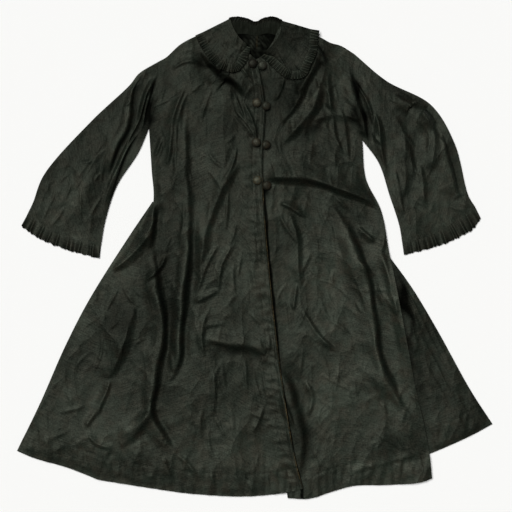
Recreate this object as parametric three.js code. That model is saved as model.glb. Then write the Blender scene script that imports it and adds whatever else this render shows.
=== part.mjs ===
// Mourning coat of black silk with a frilled collar, laid flat on its back and seen from above.
// Millimetres, +Z up. The origin is on the surface it lies on, under the middle of the coat.
// +Y points to the neck and +X to the right of the plan, which is the wearer's left.
import * as THREE from 'three';

// Driving sizes of the cloth and of the way that it lies
const CLOTH = 1.6;            // wall of lined silk
const SEAM = 0.4;             // clear space between pieces that are sewn or lie together
const LAYER = CLOTH + SEAM;   // one piece higher
const PUFF = 3.0;             // how far the upper cloth stands off the back inside a panel
const PUFF_RAMP = 50;         // distance from the outline over which it gets there
const FOLD_FADE = 20;         // folds die out this near the outline
const LAP_LIFT = LAYER + 1.6; // the lapping front over the one beneath it
const LAP_RAMP = 34;          // width over which it comes down again
const PANEL_LIFT = LAYER + 1.4; // the left front over the left side panel
const PANEL_LIFT_Y = 40;      // below this height on the plan, just above the panel's upper end
const LAP_MARGIN = 3;         // an upper piece is clear this much before the hidden edge beneath it
const SIDE_ROLL = 7;          // the left front's side edge stands up from the side panel
const SIDE_ROLL_WIDTH = 26;
const SIDE_ROLL_TOP = 10;
const SIDE_ROLL_RAMP = 50;
const SIDE_ROLL_END = -300;
const SIDE_ROLL_FADE = 160;
const HIDDEN_INSET = 2.5;     // pieces underneath end this much inside the upper ones
const UNDER_SLEEVE_SHARE = 0.98; // size of the under sleeve beside the upper one
const PANEL_TIP = 2;          // width of the right side panel's upper end

// Driving sizes of the trimmings
const FRILL_INNER_WAVE = 0.5; // half height of a frill's waves at its seam
const FRILL_OUTER_WAVE = 1.6; // half height of a frill's waves at its free edge
const UNDER_WAVE = 1.0;       // height of the waves of the frills beneath the cuffs
const CUFF_PARTS = 6;         // frill stations to each column of the sleeve, two of them a wave
const NECK_FRILL_PARTS = 3;
const COLLAR_FRILL_DEPTH = 20;
const FRILL_END_SHARE = 0.45; // the collar's frill narrows to this share at the front
const FRILL_END_WAVES = 3;    // over this many waves
const COLLAR_ROLL = 5;        // the collar stands up along the neck by this much
const COLLAR_CLEAR = { right: 1.1, left: 1.6 }; // over the fronts; the left one bridges a sharper fold
const STAND_RISE = 5;         // inner neck band rises to its top edge by this much
const BUTTON_RADIUS = 10;
const BUTTON_HEIGHT = 8.5;
const BUTTON_BASE = 8;        // radius of its flat base
const BUTTON_SIDES = 12;
const BUTTON_CLEAR = 0.4;
const EDGE_BUTTON_TILT = 13;  // degrees; the outer button of a pair leans over the front's edge

// Grid of each panel: columns across it and rows down it
const FRONT_COLUMNS = 21;
const ARMSCYE_ROWS = 7;
const SIDE_ROWS = 29;
const SLEEVE_ROWS = 16;
const BACK_COLUMNS = 16;
const BACK_SIDE_ROWS = 10;
const PANEL_COLUMNS = 7;
const PANEL_ROWS = 20;
const COLLAR_ROWS = 4;
const STAND_COLUMNS = 12;
const STAND_ROWS = 3;
const FALL_COLUMNS = 10;

const silk = new THREE.MeshStandardMaterial({ color: 0x23241f, roughness: 0.5, metalness: 0 });
const frillSilk = new THREE.MeshStandardMaterial({ color: 0x1f201c, roughness: 0.6, metalness: 0 });
const buttonSilk = new THREE.MeshStandardMaterial({ color: 0x2a2a25, roughness: 0.45, metalness: 0 });

// Edges of the pieces as they lie. x, y are places on the surface.
const RIGHT_SHOULDER_AND_NECK = [
  { x: -208, y: 431 }, { x: -195, y: 438 }, { x: -164, y: 466 }, { x: -131, y: 484 },
  { x: -58, y: 512 }, { x: -40, y: 482 }, { x: -18, y: 453 }, { x: 8, y: 429 },
];
const RIGHT_ARMSCYE = [
  { x: -208, y: 431 }, { x: -208, y: 394 }, { x: -208, y: 356 }, { x: -221, y: 317 }, { x: -232, y: 284 },
];
const RIGHT_SIDE_SEAM = [
  { x: -232, y: 284 }, { x: -226, y: 190 }, { x: -222, y: 124 }, { x: -252, y: -29 },
  { x: -296, y: -249 }, { x: -342, y: -490 },
];
const RIGHT_OUTLINE = [
  { x: -222, y: 124 }, { x: -276, y: 45 }, { x: -364, y: -95 }, { x: -417, y: -198 },
  { x: -471, y: -321 }, { x: -522, y: -426 },
];
const RIGHT_PANEL_HEM = [
  { x: -522, y: -426 }, { x: -484, y: -442 }, { x: -411, y: -463 }, { x: -345, y: -485 },
];
const RIGHT_FRONT_HEM = [
  { x: -342, y: -490 }, { x: -228, y: -508 }, { x: -141, y: -520 }, { x: -16, y: -526 },
  { x: 71, y: -517 }, { x: 107, y: -508 },
];
const RIGHT_FRONT_EDGE = [
  { x: 8, y: 429 }, { x: 24, y: 334 }, { x: 19, y: 231 }, { x: 19, y: 145 }, { x: 29, y: 9 },
  { x: 57, y: -249 }, { x: 91, y: -451 }, { x: 107, y: -508 },
];
const LEFT_FRONT_EDGE = [
  { x: -14, y: 427 }, { x: 1, y: 334 }, { x: -4, y: 231 }, { x: -4, y: 145 }, { x: 6, y: 9 },
  { x: 32, y: -249 }, { x: 63, y: -469 }, { x: 73, y: -530 },
];
const LEFT_FRONT_HEM = [
  { x: 73, y: -530 }, { x: 121, y: -531 }, { x: 166, y: -517 }, { x: 218, y: -503 },
  { x: 291, y: -501 }, { x: 364, y: -495 }, { x: 390, y: -486 },
];
const LEFT_FRONT_SIDE = [
  { x: 237, y: 257 }, { x: 245, y: 172 }, { x: 278, y: 103 }, { x: 295, y: 15 },
  { x: 313, y: -79 }, { x: 350, y: -271 }, { x: 383, y: -425 }, { x: 390, y: -486 },
];
const LEFT_OUTLINE = [
  { x: 290, y: 10 }, { x: 347, y: -69 }, { x: 402, y: -161 }, { x: 475, y: -293 }, { x: 523, y: -367 },
];
const LEFT_PANEL_INNER = [
  { x: 268, y: 10 }, { x: 292, y: -120 }, { x: 326, y: -290 }, { x: 352, y: -446 },
];
const LEFT_PANEL_HEM = [
  { x: 352, y: -446 }, { x: 420, y: -418 }, { x: 475, y: -393 }, { x: 523, y: -367 },
];
const LEFT_NECK_AND_SHOULDER = [
  { x: -14, y: 427 }, { x: 14, y: 440 }, { x: 40, y: 472 }, { x: 60, y: 507 },
  { x: 143, y: 483 }, { x: 166, y: 471 }, { x: 190, y: 464 }, { x: 218, y: 447 },
];
const LEFT_ARMSCYE = [
  { x: 218, y: 447 }, { x: 215, y: 414 }, { x: 219, y: 372 }, { x: 229, y: 332 }, { x: 237, y: 257 },
];
const RIGHT_SLEEVE_OUTER = [
  { x: -208, y: 431 }, { x: -254, y: 403 }, { x: -274, y: 378 }, { x: -360, y: 297 },
  { x: -463, y: 180 }, { x: -487, y: 119 }, { x: -500, y: 92 },
];
const RIGHT_SLEEVE_INNER = [
  { x: -232, y: 284 }, { x: -256, y: 229 }, { x: -302, y: 158 }, { x: -328, y: 80 }, { x: -338, y: 24 },
];
const RIGHT_CUFF_SEAM = [{ x: -500, y: 92 }, { x: -424, y: 48 }, { x: -338, y: 24 }];
const RIGHT_CUFF_EDGE = [{ x: -513, y: 68 }, { x: -483, y: 45 }, { x: -415, y: 16 }, { x: -341, y: -4 }];
const LEFT_SLEEVE_OUTER = [
  { x: 218, y: 447 }, { x: 290, y: 387 }, { x: 388, y: 334 }, { x: 440, y: 249 },
  { x: 470, y: 135 }, { x: 485, y: 110 },
];
const LEFT_SLEEVE_INNER = [
  { x: 237, y: 257 }, { x: 273, y: 207 }, { x: 297, y: 135 }, { x: 318, y: 70 }, { x: 325, y: 29 },
];
const LEFT_CUFF_SEAM = [{ x: 325, y: 29 }, { x: 402, y: 54 }, { x: 485, y: 110 }];
const LEFT_CUFF_EDGE = [
  { x: 329, y: 4 }, { x: 366, y: 13 }, { x: 424, y: 31 }, { x: 482, y: 62 }, { x: 498, y: 84 },
];

// The collar's halves: the line along the neck and the frill's free edge, both from shoulder to front
const RIGHT_COLLAR_NECK = [{ x: -54, y: 522 }, { x: -44, y: 497 }, { x: -30, y: 477 }, { x: -17.5, y: 466 }];
const RIGHT_COLLAR_EDGE = [
  { x: -130, y: 486 }, { x: -121, y: 466 }, { x: -93, y: 424 }, { x: -69, y: 408 },
  { x: -48, y: 403 }, { x: -32, y: 408 }, { x: -16, y: 430 }, { x: -8, y: 459 },
];
const LEFT_COLLAR_NECK = [{ x: 59, y: 517 }, { x: 56, y: 491 }, { x: 41, y: 467 }, { x: 20, y: 446 }];
const LEFT_COLLAR_EDGE = [
  { x: 143, y: 497 }, { x: 141, y: 482 }, { x: 137, y: 447 }, { x: 125, y: 420 }, { x: 112, y: 394 },
  { x: 90, y: 388 }, { x: 66, y: 393 }, { x: 47, y: 408 }, { x: 15, y: 440 },
];
const STAND_TOP = [
  { x: -50, y: 516 }, { x: -34, y: 518 }, { x: -14, y: 514 }, { x: 2, y: 508 },
  { x: 20, y: 515 }, { x: 38, y: 518 }, { x: 55, y: 512 },
];
const STAND_SEAM = [{ x: -40, y: 492 }, { x: -22, y: 490 }, { x: 3, y: 486 }, { x: 28, y: 491 }, { x: 46, y: 489 }];
const NECK_FRILL_EDGE = [
  { x: -55, y: 526 }, { x: -36, y: 528 }, { x: -16, y: 524 }, { x: 2, y: 517 },
  { x: 20, y: 525 }, { x: 40, y: 528 }, { x: 60, y: 521 },
];
const FALL_TOP = [{ x: -124, y: 482 }, { x: -54, y: 509 }, { x: 0, y: 500 }, { x: 56, y: 504 }, { x: 136, y: 480 }];
const FALL_EDGE = [{ x: -112, y: 446 }, { x: -40, y: 428 }, { x: 40, y: 428 }, { x: 128, y: 446 }];
const FALL_RAMP = 40;         // width over which the layers above the back collar come down again
const FALL_REACH = { y: 420, x: 142 };

// The back, which lies under everything else, from shoulder to shoulder and down its sides
const BACK_TOP = [
  { x: -207, y: 427 }, { x: -160, y: 462 }, { x: -128, y: 480 }, { x: -58, y: 506 }, { x: -40, y: 498 },
  { x: 3, y: 487 }, { x: 46, y: 497 }, { x: 60, y: 502 }, { x: 140, y: 479 }, { x: 188, y: 460 },
  { x: 216, y: 443 },
];
const BACK_RIGHT_SIDE = [
  { x: -229, y: 284 }, { x: -223, y: 190 }, { x: -219, y: 122 }, { x: -273, y: 45 },
  { x: -360, y: -95 }, { x: -413, y: -198 }, { x: -467, y: -321 }, { x: -517, y: -424 },
];
const BACK_LEFT_SIDE = [
  { x: 234, y: 257 }, { x: 242, y: 172 }, { x: 274, y: 103 }, { x: 286, y: 8 }, { x: 343, y: -69 },
  { x: 398, y: -161 }, { x: 471, y: -293 }, { x: 518, y: -366 },
];
const BACK_HEM = [
  { x: -517, y: -424 }, { x: -345, y: -481 }, { x: -141, y: -514 }, { x: 60, y: -512 },
  { x: 200, y: -498 }, { x: 352, y: -443 }, { x: 475, y: -389 }, { x: 518, y: -366 },
];

// Folds of the upper cloth, each a ridge from one end to the other. bow bends its middle to the right
// of the way it runs. lit is its width on the upper left, shaded on the other side, high its height.
const FOLDS = [
  { x0: -157, y0: 370, x1: -190, y1: 205, bow: 5, lit: 20, shaded: 16, high: 7 },
  { x0: -173, y0: 212, x1: -168, y1: 0, bow: 4, lit: 34, shaded: 24, high: 9 },
  { x0: -225, y0: 114, x1: -252, y1: -77, bow: 7, lit: 31, shaded: 28, high: 11 },
  { x0: -154, y0: 20, x1: -186, y1: -215, bow: -9, lit: 32, shaded: 20, high: 17 },
  { x0: -176, y0: -170, x1: -199, y1: -305, bow: -3, lit: 28, shaded: 20, high: 12 },
  { x0: -208, y0: -60, x1: -222, y1: -300, bow: -5, lit: 24, shaded: 20, high: 14 },
  { x0: -222, y0: -262, x1: -236, y1: -360, bow: 0, lit: 24, shaded: 20, high: 12 },
  { x0: -226, y0: -340, x1: -288, y1: -410, bow: -4, lit: 20, shaded: 24, high: 8 },
  { x0: -196, y0: -330, x1: -150, y1: -446, bow: -5, lit: 22, shaded: 26, high: 10 },
  { x0: -219, y0: 60, x1: -316, y1: -26, bow: -7, lit: 24, shaded: 24, high: 9 },
  { x0: -40, y0: 196, x1: -96, y1: 84, bow: 8, lit: 24, shaded: 20, high: 8 },
  { x0: -88, y0: 104, x1: -122, y1: -34, bow: 4, lit: 24, shaded: 20, high: 7 },
  { x0: -82, y0: -178, x1: 20, y1: -196, bow: -5, lit: 30, shaded: 22, high: 7 },
  { x0: -269, y0: -120, x1: -318, y1: -262, bow: -9, lit: 34, shaded: 26, high: 9 },
  { x0: -72, y0: 392, x1: -50, y1: 326, bow: 4, lit: 24, shaded: 18, high: 6 },
  { x0: 140, y0: 446, x1: 62, y1: 300, bow: -10, lit: 24, shaded: 22, high: 8 },
  { x0: 155, y0: 404, x1: 66, y1: 254, bow: -14, lit: 24, shaded: 26, high: 11 },
  { x0: 130, y0: 300, x1: 222, y1: 300, bow: -12, lit: 22, shaded: 22, high: 8 },
  { x0: 26, y0: 174, x1: 160, y1: 154, bow: -8, lit: 42, shaded: 22, high: 15 },
  { x0: 134, y0: 164, x1: 284, y1: 106, bow: -5, lit: 42, shaded: 20, high: 14 },
  { x0: 80, y0: 90, x1: 97, y1: -60, bow: -6, lit: 26, shaded: 20, high: 8 },
  { x0: 160, y0: 112, x1: 246, y1: -84, bow: -9, lit: 46, shaded: 30, high: 14 },
  { x0: 236, y0: -50, x1: 264, y1: -222, bow: -7, lit: 42, shaded: 30, high: 13 },
  { x0: 260, y0: -190, x1: 322, y1: -338, bow: -7, lit: 42, shaded: 28, high: 12 },
  { x0: 310, y0: -312, x1: 372, y1: -412, bow: -4, lit: 32, shaded: 22, high: 8 },
  { x0: -230, y0: 416, x1: -270, y1: 245, bow: 9, lit: 18, shaded: 16, high: 9 },
  { x0: -212, y0: 402, x1: -258, y1: 262, bow: -9, lit: 16, shaded: 14, high: 8 },
  { x0: -262, y0: 262, x1: -302, y1: 192, bow: 4, lit: 18, shaded: 16, high: 7 },
  { x0: -290, y0: 310, x1: -376, y1: 92, bow: 13, lit: 48, shaded: 44, high: 6 },
  { x0: 221, y0: 424, x1: 266, y1: 290, bow: -8, lit: 18, shaded: 18, high: 10 },
  { x0: 262, y0: 310, x1: 287, y1: 190, bow: -4, lit: 20, shaded: 18, high: 8 },
  { x0: 303, y0: 378, x1: 396, y1: 262, bow: -14, lit: 28, shaded: 24, high: 9 },
  { x0: 390, y0: 284, x1: 386, y1: 190, bow: -5, lit: 28, shaded: 26, high: 7 },
  { x0: 329, y0: 262, x1: 325, y1: 130, bow: -6, lit: 28, shaded: 24, high: 6 },
];
const LIT_SIDE = { x: -1, y: 0.6 };
const FOLD_TAPER = 0.22;      // share of a fold's length over which each end dies out
const FOLD_SHOULDER = 0.4;    // 1 for straight sides, less for hollow ones
const FOLD_MERGE = 3;         // how softly folds that cross run together

const OUTLINE_STEPS = 24;

const clamp01 = (t) => Math.min(1, Math.max(0, t));
const ease = (t) => { const c = clamp01(t); return c * c * (3 - 2 * c); };
const fromTo = (a, b, t) => a + (b - a) * t;

// A smooth line through a table's points, cut into equal steps
function along(points, steps) {
  const curve = new THREE.CatmullRomCurve3(
    points.map((p) => new THREE.Vector3(p.x, p.y, 0)), false, 'centripetal');
  return curve.getSpacedPoints(steps).map((p) => ({ x: p.x, y: p.y }));
}

// Where a nearly upright line passes a height on the plan
function edgeAt(points, y) {
  const k = points.findIndex((p) => p.y <= y);
  if (k < 0) return points[points.length - 1].x;
  if (k === 0) return points[0].x;
  const above = points[k - 1];
  const below = points[k];
  return fromTo(above.x, below.x, (above.y - y) / (above.y - below.y));
}

function distanceToSegment(x, y, a, b) {
  const dx = b.x - a.x;
  const dy = b.y - a.y;
  const t = clamp01(((x - a.x) * dx + (y - a.y) * dy) / (dx * dx + dy * dy));
  return Math.hypot(x - a.x - dx * t, y - a.y - dy * t);
}

const outline = [
  RIGHT_OUTLINE, LEFT_OUTLINE, RIGHT_SLEEVE_OUTER, RIGHT_SLEEVE_INNER, LEFT_SLEEVE_OUTER,
  LEFT_SLEEVE_INNER, RIGHT_PANEL_HEM, RIGHT_FRONT_HEM, LEFT_FRONT_HEM, LEFT_PANEL_HEM,
  RIGHT_SIDE_SEAM.slice(0, 3), LEFT_FRONT_SIDE.slice(0, 3), RIGHT_CUFF_SEAM, LEFT_CUFF_SEAM,
  RIGHT_SHOULDER_AND_NECK.slice(0, 4), LEFT_NECK_AND_SHOULDER.slice(4),
].map((points) => along(points, OUTLINE_STEPS));

function distanceToOutline(x, y) {
  let nearest = Infinity;
  for (const line of outline) {
    for (let k = 1; k < line.length; k += 1) {
      nearest = Math.min(nearest, distanceToSegment(x, y, line[k - 1], line[k]));
    }
  }
  return nearest;
}

// Height of one fold over a place: a crest with one gentle and one steep side, dying out at its ends
function foldHeight(fold, x, y) {
  const dx = fold.x1 - fold.x0;
  const dy = fold.y1 - fold.y0;
  const length = Math.hypot(dx, dy);
  const t = ((x - fold.x0) * dx + (y - fold.y0) * dy) / (length * length);
  if (t <= 0 || t >= 1) return 0;
  const right = { x: dy / length, y: -dx / length };
  const aside = (x - fold.x0) * right.x + (y - fold.y0) * right.y - fold.bow * 4 * t * (1 - t);
  const rightIsLit = right.x * LIT_SIDE.x + right.y * LIT_SIDE.y > 0;
  const width = (aside > 0) === rightIsLit ? fold.lit : fold.shaded;
  const across = clamp01(1 - Math.abs(aside) / width);
  const ends = ease(Math.min(t, 1 - t) / FOLD_TAPER);
  return fold.high * ends * across * fromTo(FOLD_SHOULDER, 1, across);
}

// How far the layers are lifted by the back part of the collar, folded under the neck
function fallLift(x, y) {
  const below = Math.max(0, FALL_REACH.y - y);
  const beside = Math.max(0, Math.abs(x) - FALL_REACH.x);
  return LAYER * ease(1 - Math.hypot(below, beside) / FALL_RAMP);
}

// Underside of the upper cloth over a place
function upper(x, y) {
  const inside = distanceToOutline(x, y);
  let folds = 0;
  for (const fold of FOLDS) folds += foldHeight(fold, x, y) ** FOLD_MERGE;
  return LAYER + fallLift(x, y) + PUFF * ease(inside / PUFF_RAMP)
    + folds ** (1 / FOLD_MERGE) * ease(inside / FOLD_FADE);
}

// Full where x has come within LAP_MARGIN of a hidden edge, and none a ramp's width before it
const rampTo = (hiddenEdge, x, y) => ease(1 + (x - edgeAt(hiddenEdge, y) + LAP_MARGIN) / LAP_RAMP);

// The lapping front rises over the hidden edge of the other
const lapLift = (x, y) => LAP_LIFT * rampTo(LEFT_FRONT_EDGE, x, y);

// The left front rises over the side panel, most along its own edge below the waist
function panelLift(x, y) {
  const belowWaist = ease((PANEL_LIFT_Y - y) / SIDE_ROLL_RAMP);
  const nearEdge = ease(1 - (edgeAt(LEFT_FRONT_SIDE, y) - x) / SIDE_ROLL_WIDTH);
  const alongEdge = ease((SIDE_ROLL_TOP - y) / SIDE_ROLL_RAMP) * ease((y - SIDE_ROLL_END) / SIDE_ROLL_FADE);
  return (PANEL_LIFT * rampTo(LEFT_PANEL_INNER, x, y) + SIDE_ROLL * nearEdge * alongEdge) * belowWaist;
}

// Fills the space between four edges with a grid. All edges run to the right or down.
function patch(top, bottom, left, right, heightOver) {
  const columns = top.length - 1;
  const rows = left.length - 1;
  return left.map((_, j) => top.map((__, i) => {
    const u = i / columns;
    const v = j / rows;
    const mix = (axis) => fromTo(top[i][axis], bottom[i][axis], v)
      + fromTo(left[j][axis], right[j][axis], u)
      - fromTo(fromTo(top[0][axis], top[columns][axis], u),
        fromTo(bottom[0][axis], bottom[columns][axis], u), v);
    const x = mix('x');
    const y = mix('y');
    return { x, y, z: heightOver(x, y, u, v) };
  }));
}

// A closed wall of cloth over a grid of underside points
function wall(name, grid, material, thickness = CLOTH) {
  const rows = grid.length;
  const columns = grid[0].length;
  const positions = [];
  for (const lift of [0, thickness]) {
    for (const row of grid) for (const p of row) positions.push(p.x, p.y, p.z + lift);
  }
  const under = (j, i) => j * columns + i;
  const over = (j, i) => rows * columns + under(j, i);
  const triangles = [];
  const quad = (a, b, c, d) => triangles.push(a, b, c, a, c, d);
  for (let j = 1; j < rows; j += 1) {
    for (let i = 1; i < columns; i += 1) {
      quad(over(j - 1, i - 1), over(j, i - 1), over(j, i), over(j - 1, i));
      quad(under(j - 1, i - 1), under(j - 1, i), under(j, i), under(j, i - 1));
    }
    quad(over(j - 1, 0), under(j - 1, 0), under(j, 0), over(j, 0));
    quad(over(j, columns - 1), under(j, columns - 1), under(j - 1, columns - 1), over(j - 1, columns - 1));
  }
  for (let i = 1; i < columns; i += 1) {
    quad(over(0, i), under(0, i), under(0, i - 1), over(0, i - 1));
    quad(over(rows - 1, i - 1), under(rows - 1, i - 1), under(rows - 1, i), over(rows - 1, i));
  }
  const geometry = new THREE.BufferGeometry();
  geometry.setAttribute('position', new THREE.Float32BufferAttribute(positions, 3));
  geometry.setIndex(triangles);
  geometry.computeVertexNormals();
  const mesh = new THREE.Mesh(geometry, material);
  mesh.name = name;
  return mesh;
}

// Moves a line sideways, to the right of the way it runs for a positive distance. The distance is a
// number or a function of the station.
function offset(line, distance) {
  return line.map((p, k) => {
    const a = line[Math.max(0, k - 1)];
    const b = line[Math.min(line.length - 1, k + 1)];
    const share = (typeof distance === 'number' ? distance : distance(k)) / Math.hypot(b.x - a.x, b.y - a.y);
    return { x: p.x + (b.y - a.y) * share, y: p.y - (b.x - a.x) * share };
  });
}

const straight = (a, b, steps) => along([a, b], steps);

// Cuts each stretch of a line into equal parts, so that a frill keeps to the edge that it is sewn to
function subdivide(line, parts) {
  const points = [line[0]];
  for (let k = 1; k < line.length; k += 1) {
    for (let n = 1; n <= parts; n += 1) {
      const t = n / parts;
      points.push({ x: fromTo(line[k - 1].x, line[k].x, t), y: fromTo(line[k - 1].y, line[k].y, t) });
    }
  }
  return points;
}
const last = (line) => line[line.length - 1];

// Side of a body panel: the armscye and the seam below it meet at the armpit
function sideLine(armscye, seam) {
  return [...along(armscye, ARMSCYE_ROWS), ...along(seam, SIDE_ROWS).slice(1)];
}

const BODY_ROWS = ARMSCYE_ROWS + SIDE_ROWS;

function rightFront() {
  const grid = patch(
    along(RIGHT_SHOULDER_AND_NECK, FRONT_COLUMNS), along(RIGHT_FRONT_HEM, FRONT_COLUMNS),
    sideLine(RIGHT_ARMSCYE, RIGHT_SIDE_SEAM), along(RIGHT_FRONT_EDGE, BODY_ROWS),
    (x, y) => upper(x, y) + lapLift(x, y));
  return wall('right_front', grid, silk);
}

function leftFront() {
  const grid = patch(
    along(LEFT_NECK_AND_SHOULDER, FRONT_COLUMNS), along(LEFT_FRONT_HEM, FRONT_COLUMNS),
    along(LEFT_FRONT_EDGE, BODY_ROWS), sideLine(LEFT_ARMSCYE, LEFT_FRONT_SIDE),
    (x, y) => upper(x, y) + panelLift(x, y));
  return wall('left_front', grid, silk);
}

// The right side panel meets the right front at the seam and shares its points there
function rightSidePanel() {
  const seam = along(RIGHT_SIDE_SEAM, SIDE_ROWS);
  const start = seam.findIndex((p) => p.y < RIGHT_OUTLINE[0].y);
  const inner = offset(seam.slice(start), SEAM);
  const corner = { x: inner[0].x - PANEL_TIP, y: inner[0].y };
  const outer = along([corner, ...RIGHT_OUTLINE.slice(1)], inner.length - 1);
  const top = straight(outer[0], inner[0], PANEL_COLUMNS);
  const hem = along([...RIGHT_PANEL_HEM.slice(0, 3), last(inner)], PANEL_COLUMNS);
  return wall('right_side_panel', patch(top, hem, outer, inner, (x, y) => upper(x, y)), silk);
}

function leftSidePanel() {
  const inner = along(LEFT_PANEL_INNER, PANEL_ROWS);
  const outer = along(LEFT_OUTLINE, PANEL_ROWS);
  const top = straight(inner[0], outer[0], PANEL_COLUMNS);
  const hem = along(LEFT_PANEL_HEM, PANEL_COLUMNS);
  return wall('left_side_panel', patch(top, hem, inner, outer, () => LAYER), silk);
}

function back() {
  const right = [...offset(along(RIGHT_ARMSCYE, ARMSCYE_ROWS), -HIDDEN_INSET).slice(0, -1),
    ...along(BACK_RIGHT_SIDE, BACK_SIDE_ROWS)];
  const left = [...offset(along(LEFT_ARMSCYE, ARMSCYE_ROWS), HIDDEN_INSET).slice(0, -1),
    ...along(BACK_LEFT_SIDE, BACK_SIDE_ROWS)];
  const top = along([right[0], ...BACK_TOP.slice(1, -1), left[0]], BACK_COLUMNS);
  const grid = patch(top, along(BACK_HEM, BACK_COLUMNS), right, left, fallLift);
  return wall('back', grid, silk);
}

// A sleeve's two halves: the upper one with the folds, the under one flat on the surface and smaller
function sleeve(side, edges) {
  const away = side === 'right' ? -SEAM : SEAM;
  const upperGrid = patch(
    along(edges.head, ARMSCYE_ROWS), along(edges.cuff, ARMSCYE_ROWS),
    along(edges.left, SLEEVE_ROWS), along(edges.right, SLEEVE_ROWS), upper)
    .map((row) => row.map((p) => ({ ...p, x: p.x + away })));
  const middle = upperGrid[SLEEVE_ROWS / 2][(ARMSCYE_ROWS - 1) / 2];
  const underGrid = upperGrid.filter((_, j) => j % 2 === 0).map((row) => row.map((p) => ({
    x: fromTo(middle.x, p.x, UNDER_SLEEVE_SHARE), y: fromTo(middle.y, p.y, UNDER_SLEEVE_SHARE), z: 0,
  })));
  return [wall(`${side}_sleeve_top`, upperGrid, silk), wall(`${side}_sleeve_under`, underGrid, silk)];
}

// A gathered frill between the line of its seam and its free edge. Every other station is a crest.
function frill(name, seam, edge, baseOver, share = 1, edgeAbove = false) {
  const row = (line, wave) => line.map((p, k) => ({
    x: p.x, y: p.y, z: baseOver(p.x, p.y) + 2 * wave * share * ((k + 1) % 2),
  }));
  const rows = [row(seam, FRILL_INNER_WAVE), row(edge, FRILL_OUTER_WAVE)];
  return wall(name, edgeAbove ? rows.reverse() : rows, frillSilk);
}

// The cuff's frill, once on the upper sleeve and once, lower and flatter, on the under sleeve
function cuffFrills(side, cuffSeam, cuffEdge) {
  const seam = subdivide(along(cuffSeam, ARMSCYE_ROWS), CUFF_PARTS);
  const edge = along(cuffEdge, seam.length - 1);
  const hidden = [offset(seam, SEAM + HIDDEN_INSET), offset(edge, -HIDDEN_INSET)];
  return [
    frill(`${side}_cuff_frill_top`, offset(seam, SEAM), edge, () => LAYER),
    frill(`${side}_cuff_frill_under`, ...hidden, () => 0, UNDER_WAVE / (2 * FRILL_OUTER_WAVE)),
  ];
}

// Half of the collar with its frill. Both share the stations along their seam.
function collarHalf(side, neckLine, edgeLine, waves, lift) {
  const inward = side === 'right' ? -1 : 1;
  const edge = along(edgeLine, waves);
  const narrowing = (k) => fromTo(FRILL_END_SHARE, 1, ease((waves - k) / FRILL_END_WAVES));
  const seamAt = (extra) => offset(edge, (k) => inward * (COLLAR_FRILL_DEPTH * narrowing(k) + extra));
  const over = (x, y) => upper(x, y) + lift(x, y) + CLOTH + COLLAR_CLEAR[side];
  const seam = seamAt(SEAM);
  const neck = along(neckLine, waves);
  const rows = (a, b) => straight(a, b, COLLAR_ROWS);
  const roll = (v) => COLLAR_ROLL * (1 - v) ** 2;
  const ends = [rows(neck[0], seam[0]), rows(last(neck), last(seam))];
  const grid = side === 'left'
    ? patch([...neck].reverse(), [...seam].reverse(), ends[1], ends[0], (x, y, u, v) => over(x, y) + roll(v))
    : patch(neck, seam, ends[0], ends[1], (x, y, u, v) => over(x, y) + roll(v));
  const frillLines = [subdivide(seamAt(0), 2), along(edgeLine, 2 * waves)];
  if (side === 'left') frillLines.forEach((line) => line.reverse());
  return [wall(`collar_${side}`, grid, silk), frill(`collar_${side}_frill`, ...frillLines, over)];
}

// The band inside the neck, which stands up from its seam on the back, and the small frill on top of it
function neckBand() {
  const top = along(STAND_TOP, STAND_COLUMNS);
  const seam = along(STAND_SEAM, STAND_COLUMNS);
  const side = (a, b) => straight(a, b, STAND_ROWS);
  const base = 2 * LAYER + SEAM;
  const over = (x, y, u, v) => base + STAND_RISE * (1 - v);
  const grid = patch(top, seam, side(top[0], seam[0]), side(last(top), last(seam)), over);
  const frillSeam = subdivide(offset(top, -SEAM), NECK_FRILL_PARTS);
  const frillEdge = along(NECK_FRILL_EDGE, frillSeam.length - 1);
  return [
    wall('collar_stand', grid, silk),
    frill('neck_frill', frillSeam, frillEdge, () => base + STAND_RISE, 1, true),
  ];
}

function collarFall() {
  const top = along(FALL_TOP, FALL_COLUMNS);
  const edge = along(FALL_EDGE, FALL_COLUMNS);
  const side = (a, b) => straight(a, b, STAND_ROWS);
  const grid = patch(top, edge, side(top[0], edge[0]), side(last(top), last(edge)), () => 0);
  return wall('collar_fall', grid, silk);
}

// Cloth-covered dome buttons in pairs: one on the lapping front, one leaning over its edge
const BUTTON_PAIRS = [
  { onFront: { x: -4, y: 424 }, atEdge: { x: 17, y: 420 } },
  { onFront: { x: 5, y: 338 }, atEdge: { x: 25, y: 331 } },
  { onFront: { x: 4, y: 251 }, atEdge: { x: 25, y: 246 } },
  { onFront: { x: 6, y: 168 }, atEdge: { x: 27, y: 157 } },
];

// The button from its base to the top of its dome, in shares of its radius and height
const BUTTON_RINGS = [
  { share: 0.0, high: 0 }, { share: BUTTON_BASE / BUTTON_RADIUS, high: 0 }, { share: 1.0, high: 0.22 }, { share: 0.97, high: 0.45 },
  { share: 0.8, high: 0.75 }, { share: 0.45, high: 0.95 }, { share: 0.0, high: 1 },
];

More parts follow.
